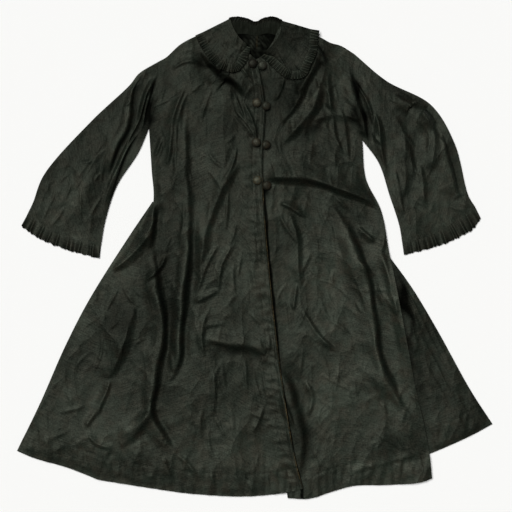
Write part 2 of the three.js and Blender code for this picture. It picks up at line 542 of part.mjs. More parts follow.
function button(name, place, tilt) {
  const profile = BUTTON_RINGS.map((r) => new THREE.Vector2(r.share * BUTTON_RADIUS, r.high * BUTTON_HEIGHT));
  const geometry = new THREE.LatheGeometry(profile, BUTTON_SIDES);
  geometry.rotateX(Math.PI / 2);
  const mesh = new THREE.Mesh(geometry, buttonSilk);
  mesh.name = name;
  const slope = Math.tan(THREE.MathUtils.degToRad(tilt));
  let seat = 0;
  for (let dx = -BUTTON_BASE; dx <= BUTTON_BASE; dx += 1) {
    for (let dy = -BUTTON_BASE; dy <= BUTTON_BASE; dy += 1) {
      const x = place.x + dx;
      const y = place.y + dy;
      const onLap = x < edgeAt(RIGHT_FRONT_EDGE, y) + 1;
      const cloth = upper(x, y) + CLOTH + (onLap ? lapLift(x, y) : 0);
      if (Math.hypot(dx, dy) <= BUTTON_BASE) seat = Math.max(seat, cloth + dx * slope);
    }
  }
  mesh.position.set(place.x, place.y, seat + BUTTON_CLEAR);
  mesh.rotation.y = THREE.MathUtils.degToRad(tilt);
  return mesh;
}

const coat = new THREE.Group();
coat.add(back(), rightSidePanel(), leftSidePanel(), leftFront(), rightFront());
coat.add(...sleeve('right', {
  head: RIGHT_ARMSCYE, cuff: RIGHT_CUFF_SEAM, left: RIGHT_SLEEVE_OUTER, right: RIGHT_SLEEVE_INNER,
}));
coat.add(...sleeve('left', {
  head: [...LEFT_ARMSCYE].reverse(), cuff: LEFT_CUFF_SEAM, left: LEFT_SLEEVE_INNER, right: LEFT_SLEEVE_OUTER,
}));
coat.add(...cuffFrills('right', RIGHT_CUFF_SEAM, RIGHT_CUFF_EDGE));
coat.add(...cuffFrills('left', LEFT_CUFF_SEAM, LEFT_CUFF_EDGE));
coat.add(collarFall(), ...neckBand());
coat.add(...collarHalf('right', RIGHT_COLLAR_NECK, RIGHT_COLLAR_EDGE, 26, lapLift));
coat.add(...collarHalf('left', LEFT_COLLAR_NECK, LEFT_COLLAR_EDGE, 28, () => 0));
BUTTON_PAIRS.forEach((pair, k) => {
  coat.add(button(`button_front_${k + 1}`, pair.onFront, 0));
  coat.add(button(`button_edge_${k + 1}`, pair.atEdge, EDGE_BUTTON_TILT));
});

export default coat;
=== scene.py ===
"""Mourning coat of black silk, laid flat on its back on a pale surface and seen from straight above."""
from collections import namedtuple

import bpy
import numpy as np
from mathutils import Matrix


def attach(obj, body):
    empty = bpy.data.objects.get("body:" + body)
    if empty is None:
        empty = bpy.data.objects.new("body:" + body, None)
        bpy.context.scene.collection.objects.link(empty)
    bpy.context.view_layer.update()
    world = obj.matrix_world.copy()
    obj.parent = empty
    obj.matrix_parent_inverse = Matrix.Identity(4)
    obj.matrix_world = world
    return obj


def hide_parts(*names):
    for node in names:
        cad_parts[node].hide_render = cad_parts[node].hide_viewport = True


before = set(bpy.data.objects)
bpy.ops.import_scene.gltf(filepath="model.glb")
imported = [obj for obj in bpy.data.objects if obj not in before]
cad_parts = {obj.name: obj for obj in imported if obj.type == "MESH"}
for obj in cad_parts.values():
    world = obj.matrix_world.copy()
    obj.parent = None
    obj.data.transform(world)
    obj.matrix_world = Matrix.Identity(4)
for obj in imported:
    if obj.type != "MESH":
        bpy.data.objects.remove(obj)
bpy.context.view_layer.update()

# Surface, light and camera. The coat lies on a plain pale table under a large soft light from the
# upper left and weaker ones round it. The lens is long and looks straight down.
MM = 0.001
PICTURE_SIDE = 512            # pixels
MM_PER_PIXEL = 2.2
PICTURE_CENTRE = (3.3, 2.2)   # mm from the middle of the coat
LENS_HEIGHT = 3.4             # metres
SENSOR = 36.0                 # mm
TABLE_SIDE = 20.0             # metres
TABLE_COLOUR = (0.93, 0.93, 0.915)
TABLE_ROUGHNESS = 0.9
AMBIENT = 0.055
KEY_FROM = (-0.26, 0.32, 0.91)
KEY_STRENGTH = 3.3
KEY_SPREAD = np.radians(40)   # a large soft light
FILL_FROM = (0.75, -0.35, 0.55)
FILL_STRENGTH = 0.05
FILL_SPREAD = np.radians(60)


def plain_material(name, colour, roughness):
    material = bpy.data.materials.new(name)
    material.use_nodes = True
    shader = material.node_tree.nodes["Principled BSDF"]
    shader.inputs["Base Color"].default_value = (*colour, 1)
    shader.inputs["Roughness"].default_value = roughness
    return material


bpy.ops.mesh.primitive_plane_add(size=TABLE_SIDE)
table = bpy.context.object
table.name = "table_surface"
table.data.materials.append(plain_material("table_paper", TABLE_COLOUR, TABLE_ROUGHNESS))

for name, come_from, strength, spread in (("key", KEY_FROM, KEY_STRENGTH, KEY_SPREAD),
                                         ("fill", FILL_FROM, FILL_STRENGTH, FILL_SPREAD)):
    lamp = bpy.data.lights.new(name, "SUN")
    lamp.energy = strength
    lamp.angle = spread
    holder = bpy.data.objects.new(name, lamp)
    holder.location = come_from
    holder.rotation_mode = "QUATERNION"
    holder.rotation_quaternion = (-holder.location).to_track_quat("-Z", "Y")
    bpy.context.scene.collection.objects.link(holder)

world = bpy.data.worlds.new("studio")
world.use_nodes = True
world.node_tree.nodes["Background"].inputs["Color"].default_value = (1, 1, 1, 1)
world.node_tree.nodes["Background"].inputs["Strength"].default_value = AMBIENT
bpy.context.scene.world = world
bpy.context.scene.view_settings.view_transform = "Standard"

camera = bpy.data.cameras.new("camera")
camera.sensor_width = SENSOR
camera.lens = SENSOR * LENS_HEIGHT / (PICTURE_SIDE * MM_PER_PIXEL * MM)
viewpoint = bpy.data.objects.new("camera", camera)
viewpoint.location = (PICTURE_CENTRE[0] * MM, PICTURE_CENTRE[1] * MM, LENS_HEIGHT)
bpy.context.scene.collection.objects.link(viewpoint)
bpy.context.scene.camera = viewpoint

# The back. A wide flared panel of lined silk with a seam down its middle, on which everything else
# lies. It is flat on the table but for the neck, where the back part of the collar is folded under it.
CLOTH = 1.6                   # mm, as the solids have it
SEAM = 0.4
LAYER = CLOTH + SEAM
SHELL = 1.0                   # the shown cloth is a little thinner and lies inside its solid
SHELL_UP = 0.3
SEWN = 0.04                   # between pieces that are sewn edge to edge
STEP = 4.2                    # mm between the points of a panel
FALL_REACH = (142, 420)       # half width and lower edge of the folded collar
FALL_RAMP = 40
HIDDEN_INSET = 2.5            # of what lies beneath, behind the edge of what lies on it
SHARP = np.radians(62)
CURVE_STEPS = 40              # of a smooth curve, between two of its points
BACK_COLUMNS = 150
ARMSCYE_STEPS = 8
THINNED = 8                   # every eighth point of the back's edges is enough
NECK_MIDDLE = (5, 468)        # of the inside of the back that shows in the neck
NECK_REACH = (42, 40)
NECK_WRINKLE = 2.2
# Painted shade over the whole back, and painted highlight on the wrinkles in the neck
NECK_PAINTED_SHADE = 0.85
NECK_PAINTED_HIGHLIGHT = 1.7             # painted highlight on the crests of the wrinkles
CENTRE_SEAM_HALF = 1.6
CENTRE_SEAM_RISE = 1.6
CENTRE_SEAM_FROM = 456
CENTRE_SEAM_RAMP = 8
CENTRE_SEAM_WEAR = 0.09

BACK_TOP = [(-205, 428), (-160, 462), (-128, 480), (-58, 506), (-40, 498), (3, 487), (46, 497),
            (60, 502), (140, 479), (188, 460), (214, 445)]
RIGHT_ARMSCYE = [(-208, 431), (-208, 394), (-208, 356), (-221, 317), (-232, 284)]
LEFT_ARMSCYE = [(218, 447), (215, 414), (219, 372), (229, 332), (237, 257)]
BACK_RIGHT_SIDE = [(-229, 284), (-223, 190), (-219, 122), (-273, 45), (-360, -95), (-413, -198),
                   (-467, -321), (-517, -424)]
BACK_LEFT_SIDE = [(234, 257), (242, 172), (274, 103), (286, 8), (343, -69), (398, -161), (471, -293),
                  (518, -366)]
BACK_HEM = [(-517, -424), (-345, -481), (-141, -514), (60, -512), (200, -498), (352, -443),
            (475, -389), (518, -366)]


def ease(t):
    t = np.clip(t, 0, 1)
    return t * t * (3 - 2 * t)


def along(points, steps):
    """A smooth centripetal curve through a table's points, cut into equal steps."""
    p = np.asarray(points, float)
    p = np.vstack([2 * p[0] - p[1], p, 2 * p[-1] - p[-2]])
    gaps = np.sqrt(np.linalg.norm(np.diff(p, axis=0), axis=1))
    fine = []
    t = np.linspace(0, 1, CURVE_STEPS, endpoint=False)[:, None]
    for k in range(1, len(p) - 2):
        a, b, c = gaps[k - 1], gaps[k], gaps[k + 1]
        leave = ((p[k] - p[k - 1]) / a - (p[k + 1] - p[k - 1]) / (a + b) + (p[k + 1] - p[k]) / b) * b
        reach = ((p[k + 1] - p[k]) / b - (p[k + 2] - p[k]) / (b + c) + (p[k + 2] - p[k + 1]) / c) * b
        fine.append((2 * t**3 - 3 * t**2 + 1) * p[k] + (t**3 - 2 * t**2 + t) * leave
                    + (3 * t**2 - 2 * t**3) * p[k + 1] + (t**3 - t**2) * reach)
    fine = np.vstack(fine + [p[-2:-1]])
    run = np.concatenate([[0], np.cumsum(np.linalg.norm(np.diff(fine, axis=0), axis=1))])
    stops = np.linspace(0, run[-1], steps + 1)
    return np.column_stack([np.interp(stops, run, fine[:, axis]) for axis in (0, 1)])


def length_of(points):
    return float(np.linalg.norm(np.diff(np.asarray(points, float), axis=0), axis=1).sum())


def steps_for(points, step=STEP):
    return max(2, round(length_of(points) / step))


def joined(*lines):
    """Lines end to end, each cut into steps of its own."""
    parts = [along(line, steps_for(line)) for line in lines]
    return np.vstack([parts[0]] + [part[1:] for part in parts[1:]])


def patch(top, bottom, left, right):
    """Fills the space between four edges with a grid of places, rows x columns x 2."""
    u = np.linspace(0, 1, len(top))[None, :, None]
    v = np.linspace(0, 1, len(left))[:, None, None]
    corners = ((1 - v) * ((1 - u) * top[0] + u * top[-1]) + v * ((1 - u) * bottom[0] + u * bottom[-1]))
    return (1 - v) * top[None] + v * bottom[None] + (1 - u) * left[:, None] + u * right[:, None] - corners


def offset(line, distance):
    """Moves a line to the right of the way it runs."""
    along_it = np.gradient(line, axis=0)
    along_it /= np.linalg.norm(along_it, axis=1)[:, None]
    return line + np.column_stack([along_it[:, 1], -along_it[:, 0]]) * np.reshape(distance, (-1, 1))


def cloth(name, places, under, material, thickness=SHELL, **masks):
    """A closed wall of cloth over a grid of places. under is the height of its underside, in mm. A mask
    is a number from 0 to 1 for each place, which the material reads by its name."""
    rows, columns = places.shape[:2]
    count = rows * columns
    bottom = np.dstack([places, under]).reshape(-1, 3)
    points = np.vstack([bottom, bottom + (0, 0, thickness)]) * MM
    at = np.arange(count).reshape(rows, columns)
    faces = np.stack([at[:-1, :-1], at[1:, :-1], at[1:, 1:], at[:-1, 1:]], -1).reshape(-1, 4)
    rim = np.concatenate([at[0, ::-1], at[1:, 0], at[-1, 1:], at[-2:0:-1, -1]])
    after = np.roll(rim, -1)
    sides = np.column_stack([rim, after, after + count, rim + count])
    quads = np.vstack([faces + count, faces[:, ::-1], sides])
    mesh = bpy.data.meshes.new(name)
    mesh.from_pydata(points, [], quads)
    smooth = np.ones(len(quads), bool)
    smooth[-len(sides):] = False
    mesh.polygons.foreach_set("use_smooth", smooth)
    mesh.set_sharp_from_angle(angle=SHARP)
    across = np.linalg.norm(np.diff(places, axis=1, prepend=places[:, :1]), axis=2).cumsum(axis=1)
    down = np.linalg.norm(np.diff(places, axis=0, prepend=places[:1]), axis=2).cumsum(axis=0)
    mapped = np.tile(np.column_stack([across.ravel(), -down.ravel()]) * MM, (2, 1))
    layer = mesh.uv_layers.new(name="cut")
    corner_points = np.empty(len(mesh.loops), int)
    mesh.loops.foreach_get("vertex_index", corner_points)
    layer.data.foreach_set("uv", mapped[corner_points].ravel())
    for label, mask in masks.items():
        marks = mesh.attributes.new(label, "FLOAT", "POINT")
        marks.data.foreach_set("value", np.tile(np.ravel(mask), 2).astype(float))
    mesh.materials.append(material)
    piece = bpy.data.objects.new(name, mesh)
    bpy.context.scene.collection.objects.link(piece)
    return piece


def lay(piece, node):
    """Hangs a piece of cloth under the root and hides the solid that it stands for."""
    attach(piece, "root")
    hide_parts(node)


def fall_lift(x, y):
    below = np.maximum(0, FALL_REACH[1] - y)
    beside = np.maximum(0, np.abs(x) - FALL_REACH[0])
    return LAYER * ease(1 - np.hypot(below, beside) / FALL_RAMP)


def new_group(name, inputs, outputs):
    """An empty shader node group. inputs and outputs map a socket's name to its type."""
    tree = bpy.data.node_groups.new(name, "ShaderNodeTree")
    for label, (kind, value) in inputs.items():
        socket = tree.interface.new_socket(label, in_out="INPUT", socket_type=kind)
        socket.default_value = value
    for label, kind in outputs.items():
        tree.interface.new_socket(label, in_out="OUTPUT", socket_type=kind)
    tree.nodes.new("NodeGroupInput")
    tree.nodes.new("NodeGroupOutput")
    return tree


def node(tree, kind, **settings):
    made = tree.nodes.new(kind)
    for label, value in settings.items():
        setattr(made, label, value)
    return made


def math_node(tree, operation, first, second):
    """A Math node. Each operand is a number or an output socket."""
    made = node(tree, "ShaderNodeMath", operation=operation)
    for socket, operand in zip(made.inputs, (first, second)):
        if isinstance(operand, (int, float)):
            socket.default_value = operand
        else:
            tree.links.new(operand, socket)
    return made.outputs[0]


def noise_node(tree, where, scale, detail, out="Fac", **settings):
    made = node(tree, "ShaderNodeTexNoise", **settings)
    made.inputs["Scale"].default_value = scale
    made.inputs["Detail"].default_value = detail
    tree.links.new(where, made.inputs["Vector"])
    return made.outputs[out]


def stretched(tree, where, scale):
    """Coordinates scaled unevenly, so that a texture runs along the threads."""
    made = node(tree, "ShaderNodeMapping")
    made.inputs["Scale"].default_value = scale
    tree.links.new(where, made.inputs["Vector"])
    return made.outputs[0]


def spread_over(tree, value, low_high=(0.0, 1.0), to=(0.0, 1.0)):
    """A value between low and high, put in proportion between two others."""
    made = node(tree, "ShaderNodeMapRange")
    made.inputs["From Min"].default_value, made.inputs["From Max"].default_value = low_high
    made.inputs["To Min"].default_value, made.inputs["To Max"].default_value = to
    tree.links.new(value, made.inputs["Value"])
    return made.outputs[0]


def blended(tree, factor, first, second):
    """Two colours mixed by a factor. Each is a colour of four numbers or an output socket."""
    made = node(tree, "ShaderNodeMix", data_type="RGBA")
    tree.links.new(factor, made.inputs["Factor"])
    for socket, colour in zip((made.inputs[6], made.inputs[7]), (first, second)):
        if isinstance(colour, tuple):
            socket.default_value = colour
        else:
            tree.links.new(colour, socket)
    return made.outputs[2]


# Taffeta: fine cross ribs with slubs, small crisp crumples, and blacks that drift between greenish
# and brownish. The weave follows the cut of each piece, which its map gives in metres.
SLUBS = (30.0, 520.0, 1.0)       # coarse threads across the cloth, to the metre
RIBS = (420.0, 2300.0, 1.0)
WARP = (2600.0, 260.0, 1.0)
SLUB_HEIGHT = 0.30               # mm
RIB_HEIGHT = 0.08
WARP_HEIGHT = 0.02
RIDGE_CELLS = 38.0               # to the metre, as all cells here
RIDGE_HEIGHT = 0.55
FACETS = [(13.0, 5.2), (31.0, 1.5), (90.0, 0.22)]   # cells and depth factor in mm
FACET_STRETCH = (1.0, 0.55, 0.3)
FACET_WANDER = 0.035             # metres
FACET_WANDER_CELLS = 14.0
DRIFT_CELLS = 8.0                # of the dye
DRIFT_SHARE = 0.30
MOTTLE_CELLS = 330.0
MOTTLE_SHARE = 0.40
SLUB_SHARE = 0.30
TONE_RANGE = (0.40, 0.60)
WARM_CELLS = 46.0
WARM_RANGE = (0.40, 0.66)
SPECULAR = (0.12, 0.25)
SPECULAR_TINT = (0.92, 1.0, 0.79, 1)
GLOSS_CELLS = 17.0
ROUGHNESS = (0.46, 0.60)
taffeta = new_group(
    "taffeta",
    {
        "Dark": ("NodeSocketColor", (0.0035, 0.0041, 0.0031, 1)),
        "Light": ("NodeSocketColor", (0.0125, 0.0142, 0.0108, 1)),
        "Warm": ("NodeSocketColor", (0.0150, 0.0128, 0.0090, 1)),
        "Crumple": ("NodeSocketFloat", 1.0),
        "Gloss": ("NodeSocketFloat", 1.0),
    },
    {"Color": "NodeSocketColor", "Roughness": "NodeSocketFloat", "Specular": "NodeSocketFloat",
     "Height": "NodeSocketFloat"},
)
group_in = taffeta.nodes["Group Input"]
group_out = taffeta.nodes["Group Output"]
place = node(taffeta, "ShaderNodeTexCoord")
slubs = noise_node(taffeta, stretched(taffeta, place.outputs["UV"], SLUBS), 1.0, 3.0)
ribs = noise_node(taffeta, stretched(taffeta, place.outputs["UV"], RIBS), 1.0, 1.5)
warp = noise_node(taffeta, stretched(taffeta, place.outputs["UV"], WARP), 1.0, 1.0)
ridge = noise_node(taffeta, place.outputs["Object"], RIDGE_CELLS, 5.0, noise_type="RIDGED_MULTIFRACTAL")

# Hollow facets that meet in sharp lines
shift = node(taffeta, "ShaderNodeVectorMath", operation="MULTIPLY_ADD")
shift.inputs[1].default_value = (FACET_WANDER, FACET_WANDER, 0)
taffeta.links.new(noise_node(taffeta, place.outputs["Object"], FACET_WANDER_CELLS, 3.0, out="Color"),
                  shift.inputs[0])
taffeta.links.new(place.outputs["Object"], shift.inputs[2])
facet_place = stretched(taffeta, shift.outputs[0], FACET_STRETCH)
height = math_node(taffeta, "MULTIPLY", ridge, RIDGE_HEIGHT)
for scale, depth in FACETS:
    cells = node(taffeta, "ShaderNodeTexVoronoi", feature="F1")
    cells.inputs["Scale"].default_value = scale
    taffeta.links.new(facet_place, cells.inputs["Vector"])
    hollow = math_node(taffeta, "POWER", cells.outputs["Distance"], 2.0)
    height = math_node(taffeta, "ADD", height, math_node(taffeta, "MULTIPLY", hollow, depth))
height = math_node(taffeta, "MULTIPLY", height, group_in.outputs["Crumple"])
for part, share in ((slubs, SLUB_HEIGHT), (ribs, RIB_HEIGHT), (warp, WARP_HEIGHT)):
    height = math_node(taffeta, "ADD", height, math_node(taffeta, "MULTIPLY", part, share))
taffeta.links.new(height, group_out.inputs["Height"])

# Tone, from the drift of the dye, a mottle and the slubs
drift = noise_node(taffeta, place.outputs["Object"], DRIFT_CELLS, 4.0)
mottle = noise_node(taffeta, place.outputs["Object"], MOTTLE_CELLS, 3.0)
tone = math_node(taffeta, "MULTIPLY", drift, DRIFT_SHARE)
for part, share in ((mottle, MOTTLE_SHARE), (slubs, SLUB_SHARE)):
    tone = math_node(taffeta, "ADD", tone, math_node(taffeta, "MULTIPLY", part, share))
tone = spread_over(taffeta, tone, TONE_RANGE)
warmth = spread_over(taffeta, noise_node(taffeta, place.outputs["Object"], WARM_CELLS, 4.0), WARM_RANGE)
bright = blended(taffeta, warmth, group_in.outputs["Light"], group_in.outputs["Warm"])
taffeta.links.new(blended(taffeta, tone, group_in.outputs["Dark"], bright), group_out.inputs["Color"])
shine = spread_over(taffeta, tone, to=SPECULAR)
taffeta.links.new(math_node(taffeta, "MULTIPLY", shine, group_in.outputs["Gloss"]),
                  group_out.inputs["Specular"])
gloss = noise_node(taffeta, place.outputs["Object"], GLOSS_CELLS, 4.0)
taffeta.links.new(spread_over(taffeta, gloss, to=ROUGHNESS), group_out.inputs["Roughness"])

LINING_COLOUR = (0.0074, 0.0087, 0.0062, 1)
LINING_DULL = 0.8
WORN_COLOUR = (0.11, 0.075, 0.03, 1)
WORN_CELLS = 240.0
WORN_CONTRAST = 7.0
WARMTH = (1.5, 0.94, 0.9)        # the brownish places against the greenish ones
SHEEN_ROUGHNESS = 0.35
SHEEN_TINT = (0.82, 0.84, 0.74, 1)


def silk_material(name, dark, light, crumple, sheen, gloss=1.0):
    """Silk whose masks turn it to dark lining ("lining") or to bare brown threads ("worn"). A third mask
    ("dull") darkens it with painted shade and, below 0, lightens it with a painted highlight."""
    material = bpy.data.materials.new(name)
    material.use_nodes = True
    tree = material.node_tree
    shader = tree.nodes["Principled BSDF"]
    shader.inputs["Specular Tint"].default_value = SPECULAR_TINT
    shader.inputs["Sheen Weight"].default_value = sheen
    shader.inputs["Sheen Roughness"].default_value = SHEEN_ROUGHNESS
    shader.inputs["Sheen Tint"].default_value = SHEEN_TINT
    weave = node(tree, "ShaderNodeGroup", node_tree=taffeta)
    warm = [part * warmer for part, warmer in zip(light, WARMTH)]
    for label, colour in (("Dark", dark), ("Light", light), ("Warm", warm)):
        weave.inputs[label].default_value = (*colour, 1)
    weave.inputs["Crumple"].default_value = crumple
    lining, worn, dull = (node(tree, "ShaderNodeAttribute", attribute_name=label).outputs["Fac"]
                          for label in ("lining", "worn", "dull"))
    # Painted shade darkens, and painted highlight lightens, both the colour and the gloss
    painted_brightness = math_node(tree, "SUBTRACT", 1.0, dull)
    shown = math_node(tree, "SUBTRACT", gloss, math_node(tree, "MULTIPLY", lining, LINING_DULL * gloss))
    tree.links.new(math_node(tree, "MULTIPLY", painted_brightness, shown), weave.inputs["Gloss"])
    patches = noise_node(tree, node(tree, "ShaderNodeTexCoord").outputs["Object"], WORN_CELLS, 3.0)
    patches = math_node(tree, "MULTIPLY", math_node(tree, "POWER", patches, 3.0), WORN_CONTRAST)
    bare = math_node(tree, "MULTIPLY", worn, patches)
    bare.node.use_clamp = True
    dyed_and_shaded = node(tree, "ShaderNodeVectorMath", operation="SCALE")
    tree.links.new(blended(tree, lining, weave.outputs["Color"], LINING_COLOUR), dyed_and_shaded.inputs[0])
    tree.links.new(painted_brightness, dyed_and_shaded.inputs["Scale"])
    tree.links.new(blended(tree, bare, dyed_and_shaded.outputs[0], WORN_COLOUR), shader.inputs["Base Color"])
    tree.links.new(weave.outputs["Roughness"], shader.inputs["Roughness"])
    tree.links.new(weave.outputs["Specular"], shader.inputs["Specular IOR Level"])
    relief = node(tree, "ShaderNodeBump")
    relief.inputs["Distance"].default_value = MM
    tree.links.new(weave.outputs["Height"], relief.inputs["Height"])
    tree.links.new(relief.outputs["Normal"], shader.inputs["Normal"])
    return material


silk = silk_material("black_silk", dark=(0.0028, 0.0037, 0.0026), light=(0.0098, 0.0139, 0.0096),
                     crumple=1.4, sheen=0.02)

right_edge = joined(offset(along(RIGHT_ARMSCYE, ARMSCYE_STEPS), -HIDDEN_INSET), BACK_RIGHT_SIDE)
left_edge = joined(offset(along(LEFT_ARMSCYE, ARMSCYE_STEPS), HIDDEN_INSET), BACK_LEFT_SIDE)
rows = max(len(right_edge), len(left_edge)) - 1
right_edge = along(right_edge[::THINNED], rows)
left_edge = along(left_edge[::THINNED], rows)
neckline = [tuple(right_edge[0])] + BACK_TOP[1:-1] + [tuple(left_edge[0])]
back_places = patch(along(neckline, BACK_COLUMNS), along(BACK_HEM, BACK_COLUMNS), right_edge, left_edge)
x, y = back_places[..., 0], back_places[..., 1]
from_middle = (back_places - NECK_MIDDLE) / NECK_REACH
in_neck = ease(1 - np.hypot(from_middle[..., 0], from_middle[..., 1]))
centre_seam = np.exp(-(((x - NECK_MIDDLE[0]) / CENTRE_SEAM_HALF) ** 2))
centre_seam = centre_seam * ease((y - CENTRE_SEAM_FROM) / CENTRE_SEAM_RAMP)
# Two sets of wavy creases that cross
wrinkles = (np.abs(np.sin(x * 0.26 + y * 0.15 + 1.9 * np.sin(y * 0.13 + x * 0.05)))
            + np.abs(np.sin(y * 0.29 - x * 0.10 + 1.7 * np.sin(x * 0.15 - y * 0.06))))
raised = in_neck * (NECK_WRINKLE * wrinkles + CENTRE_SEAM_RISE * centre_seam)
# The back gets painted shade, and painted highlight on the crests of its neck wrinkles
back = cloth("back_panel", back_places, fall_lift(x, y) + raised, silk, CLOTH - SEAM,
             lining=np.ones(x.shape), worn=CENTRE_SEAM_WEAR * in_neck * centre_seam,
             dull=NECK_PAINTED_SHADE - NECK_PAINTED_HIGHLIGHT * (wrinkles / 2) ** 3 * in_neck)
lay(back, "back")


# The fronts and side panels. Four lined panels that lie on the back. The wearer's right front laps the
# left one and buttons over it; each side panel is sewn to its front down the side. Their folds come
# from the way the coat was put down: a few large ones, small crisp creases and a fine crumple.
PUFF = 3.0                    # mm that a panel stands up in its middle
EXTRA_PUFF = 1.5              # the hollows need a little more height than the solids have
PUFF_RAMP = 75
FOLD_FADE = 20
LEAST_RISE = 1.5              # how softly the hollows come to rest on what is beneath
LAP_LIFT = LAYER + 1.6        # of the right front, where it lies over the left one
LAP_RAMP = 34
LAP_MARGIN = 3
PANEL_LIFT = LAYER + 1.4      # of the left front, where it lies over the side panel
PANEL_LIFT_Y = 40
SIDE_ROLL = 10                # mm that the left front's side rolls up below the waist
SIDE_ROLL_WIDTH = 26
SIDE_ROLL_TOP = 10
SIDE_ROLL_RAMP = 50
SIDE_ROLL_END = -300
SIDE_ROLL_FADE = 160
PANEL_TIP = 2
FRONT_COLUMNS = 140
ARMSCYE_ROWS = 65
SIDE_ROWS = 270
PANEL_COLUMNS = 56
PANEL_ROWS = 170
LIT_SIDE = (-1, 0.6)
FOLD_TAPER = 0.75
FOLD_RUN_ON = 0.1             # share of its length by which a fold fades out beyond its drawn ends
GENTLE = 1.3                  # the lit side is this much wider than in the solid
STEEP = 0.68                  # and the shaded side this much narrower
FOLD_SHOULDER = 0.4
FOLD_END_WIDTH = 0.5
FOLD_SWING = 0.3
FOLD_SWING_WAVE = (0.3, 12)   # as a share of its length, and mm more
FOLD_MERGE = 3
CREASE_SHARE = 0.85
CREASE_END_WIDTH = 0.4
CREST_ROUND = 0.07            # share of a fold's width over which its crest is round
WANDER = 5.0                  # mm that folds stray from their drawn lines
WANDER_WAVE = 85
FAN_APEX = 700                # the cloth hangs from about here, so its small folds fan out from it
FAN_ORIGIN = 950
BROAD = [(190, 4.0, 2.0), (100, 3.0, 2.8)]  # wave, height and length over width of the slow swells
CRUMPLE = [(60, 1.9, 3.4), (32, 1.1, 2.6), (18, 0.55, 1.7), (10, 0.22, 1.0)]
CRUMPLE_PATCH = 2.6           # waves across a place with more or less crumple
CRUMPLE_SHARE = (0.5, 0.7)    # on average, and how much it changes
CRUMPLE_MOST = 1.2
SCATTERED = 440               # short crisp creases all over, mostly along the hang of the cloth
SCATTER_SEED = 11
SCATTER_X = (-500, 500)
SCATTER_Y = (-520, 480)
SCATTER_TURN = 0.55           # radians off the hang
SCATTER_LENGTH = (22, 95)
SCATTER_WIDTH = (3.2, 8)
SCATTER_SHADED = 0.8          # width of the shaded side over the lit one
SCATTER_BOW = 5
SCATTER_STEEPNESS = (0.14, 0.42)
SCATTER_MARGIN = 12
TURNING_RISE = 0.5            # mm by which the turned-up cloth stands higher
HEM_TURNING = 48
HEM_RAMP = 16
HEM_WAVE = 1.6
HEM_PITCH = 1.2               # pitch of its waves over that of the puckers
HEM_STRETCH = 0.22
EDGE_TURNING = 22
EDGE_RAMP = 6
EDGE_CROWDING = 1.35          # columns stand closer towards the lapping edge
EDGE_CURL = 2.2               # mm by which the lapping edge rolls up
CURL_AT = 3.5                 # mm in from its end
CURL_WIDTH = 4
CURL_SWING = 0.5
CURL_WAVE = 38
GAP_WIDTH = 5.5               # the painted shade under the lapping edge
GAP_SWING = 0.4
GAP_WAVE = 55
GAP_LOW = 0.35                # how much narrower it is down the skirt
GAP_LOW_Y = -280
GAP_LOW_RAMP = 160
GAP_BLUR = 1.5
GAP_UNDER = 6
GAP_SHADE = 0.9
GAP_FADE = 40
WORN_FROM = 190               # below here the lapping edge is worn, and the gap beside it gets painted shade
WORN_FULL = 1.4
WORN_WIDTH = 1.3
WORN_FADE = 60
WORN_SHARE = (0.35, 0.6)      # on average, and how much it changes
WORN_WAVE = 40
STITCH_PULL = 0.55
STITCH_WIDTH = 1.8
PUCKER = 1.4
PUCKER_PITCH = 11
PUCKER_REACH = 17
PUCKER_STRETCH = 0.3
PANEL_CLEAR = (25, 14)        # mm over which its folds start, from the front's edge and from its own
PANEL_RIDGES = (1.6, 34)      # height and wave
PANEL_WAVES = (1.2, 50)
PANEL_FAN = 170
PANEL_STRETCH = 3

Fold = namedtuple("Fold", "x0 y0 x1 y1 bow lit shaded high")
FOLDS = [Fold(*row) for row in (
    (-157, 370, -190, 205, 5, 20, 16, 7), (-226, -340, -288, -410, -4, 20, 24, 8),
    (-219, 60, -316, -26, -7, 24, 24, 9), (-40, 196, -96, 84, 8, 24, 20, 8),
    (-88, 104, -122, -34, 4, 24, 20, 7), (-269, -120, -318, -262, -9, 34, 26, 9),
    (140, 446, 62, 300, -10, 24, 22, 8), (155, 404, 66, 254, -14, 24, 26, 11),
    (130, 300, 222, 300, -12, 22, 22, 5), (26, 174, 160, 154, -8, 42, 22, 15),
    (134, 164, 284, 106, -5, 42, 20, 14), (80, 90, 97, -60, -6, 26, 20, 8),
    (-290, 310, -376, 92, 13, 48, 44, 3),
    (262, 310, 287, 190, -4, 20, 18, 8), (303, 378, 396, 262, -14, 28, 24, 9),
    (390, 284, 386, 190, -5, 28, 26, 7), (329, 262, 325, 130, -6, 28, 24, 6),
)]
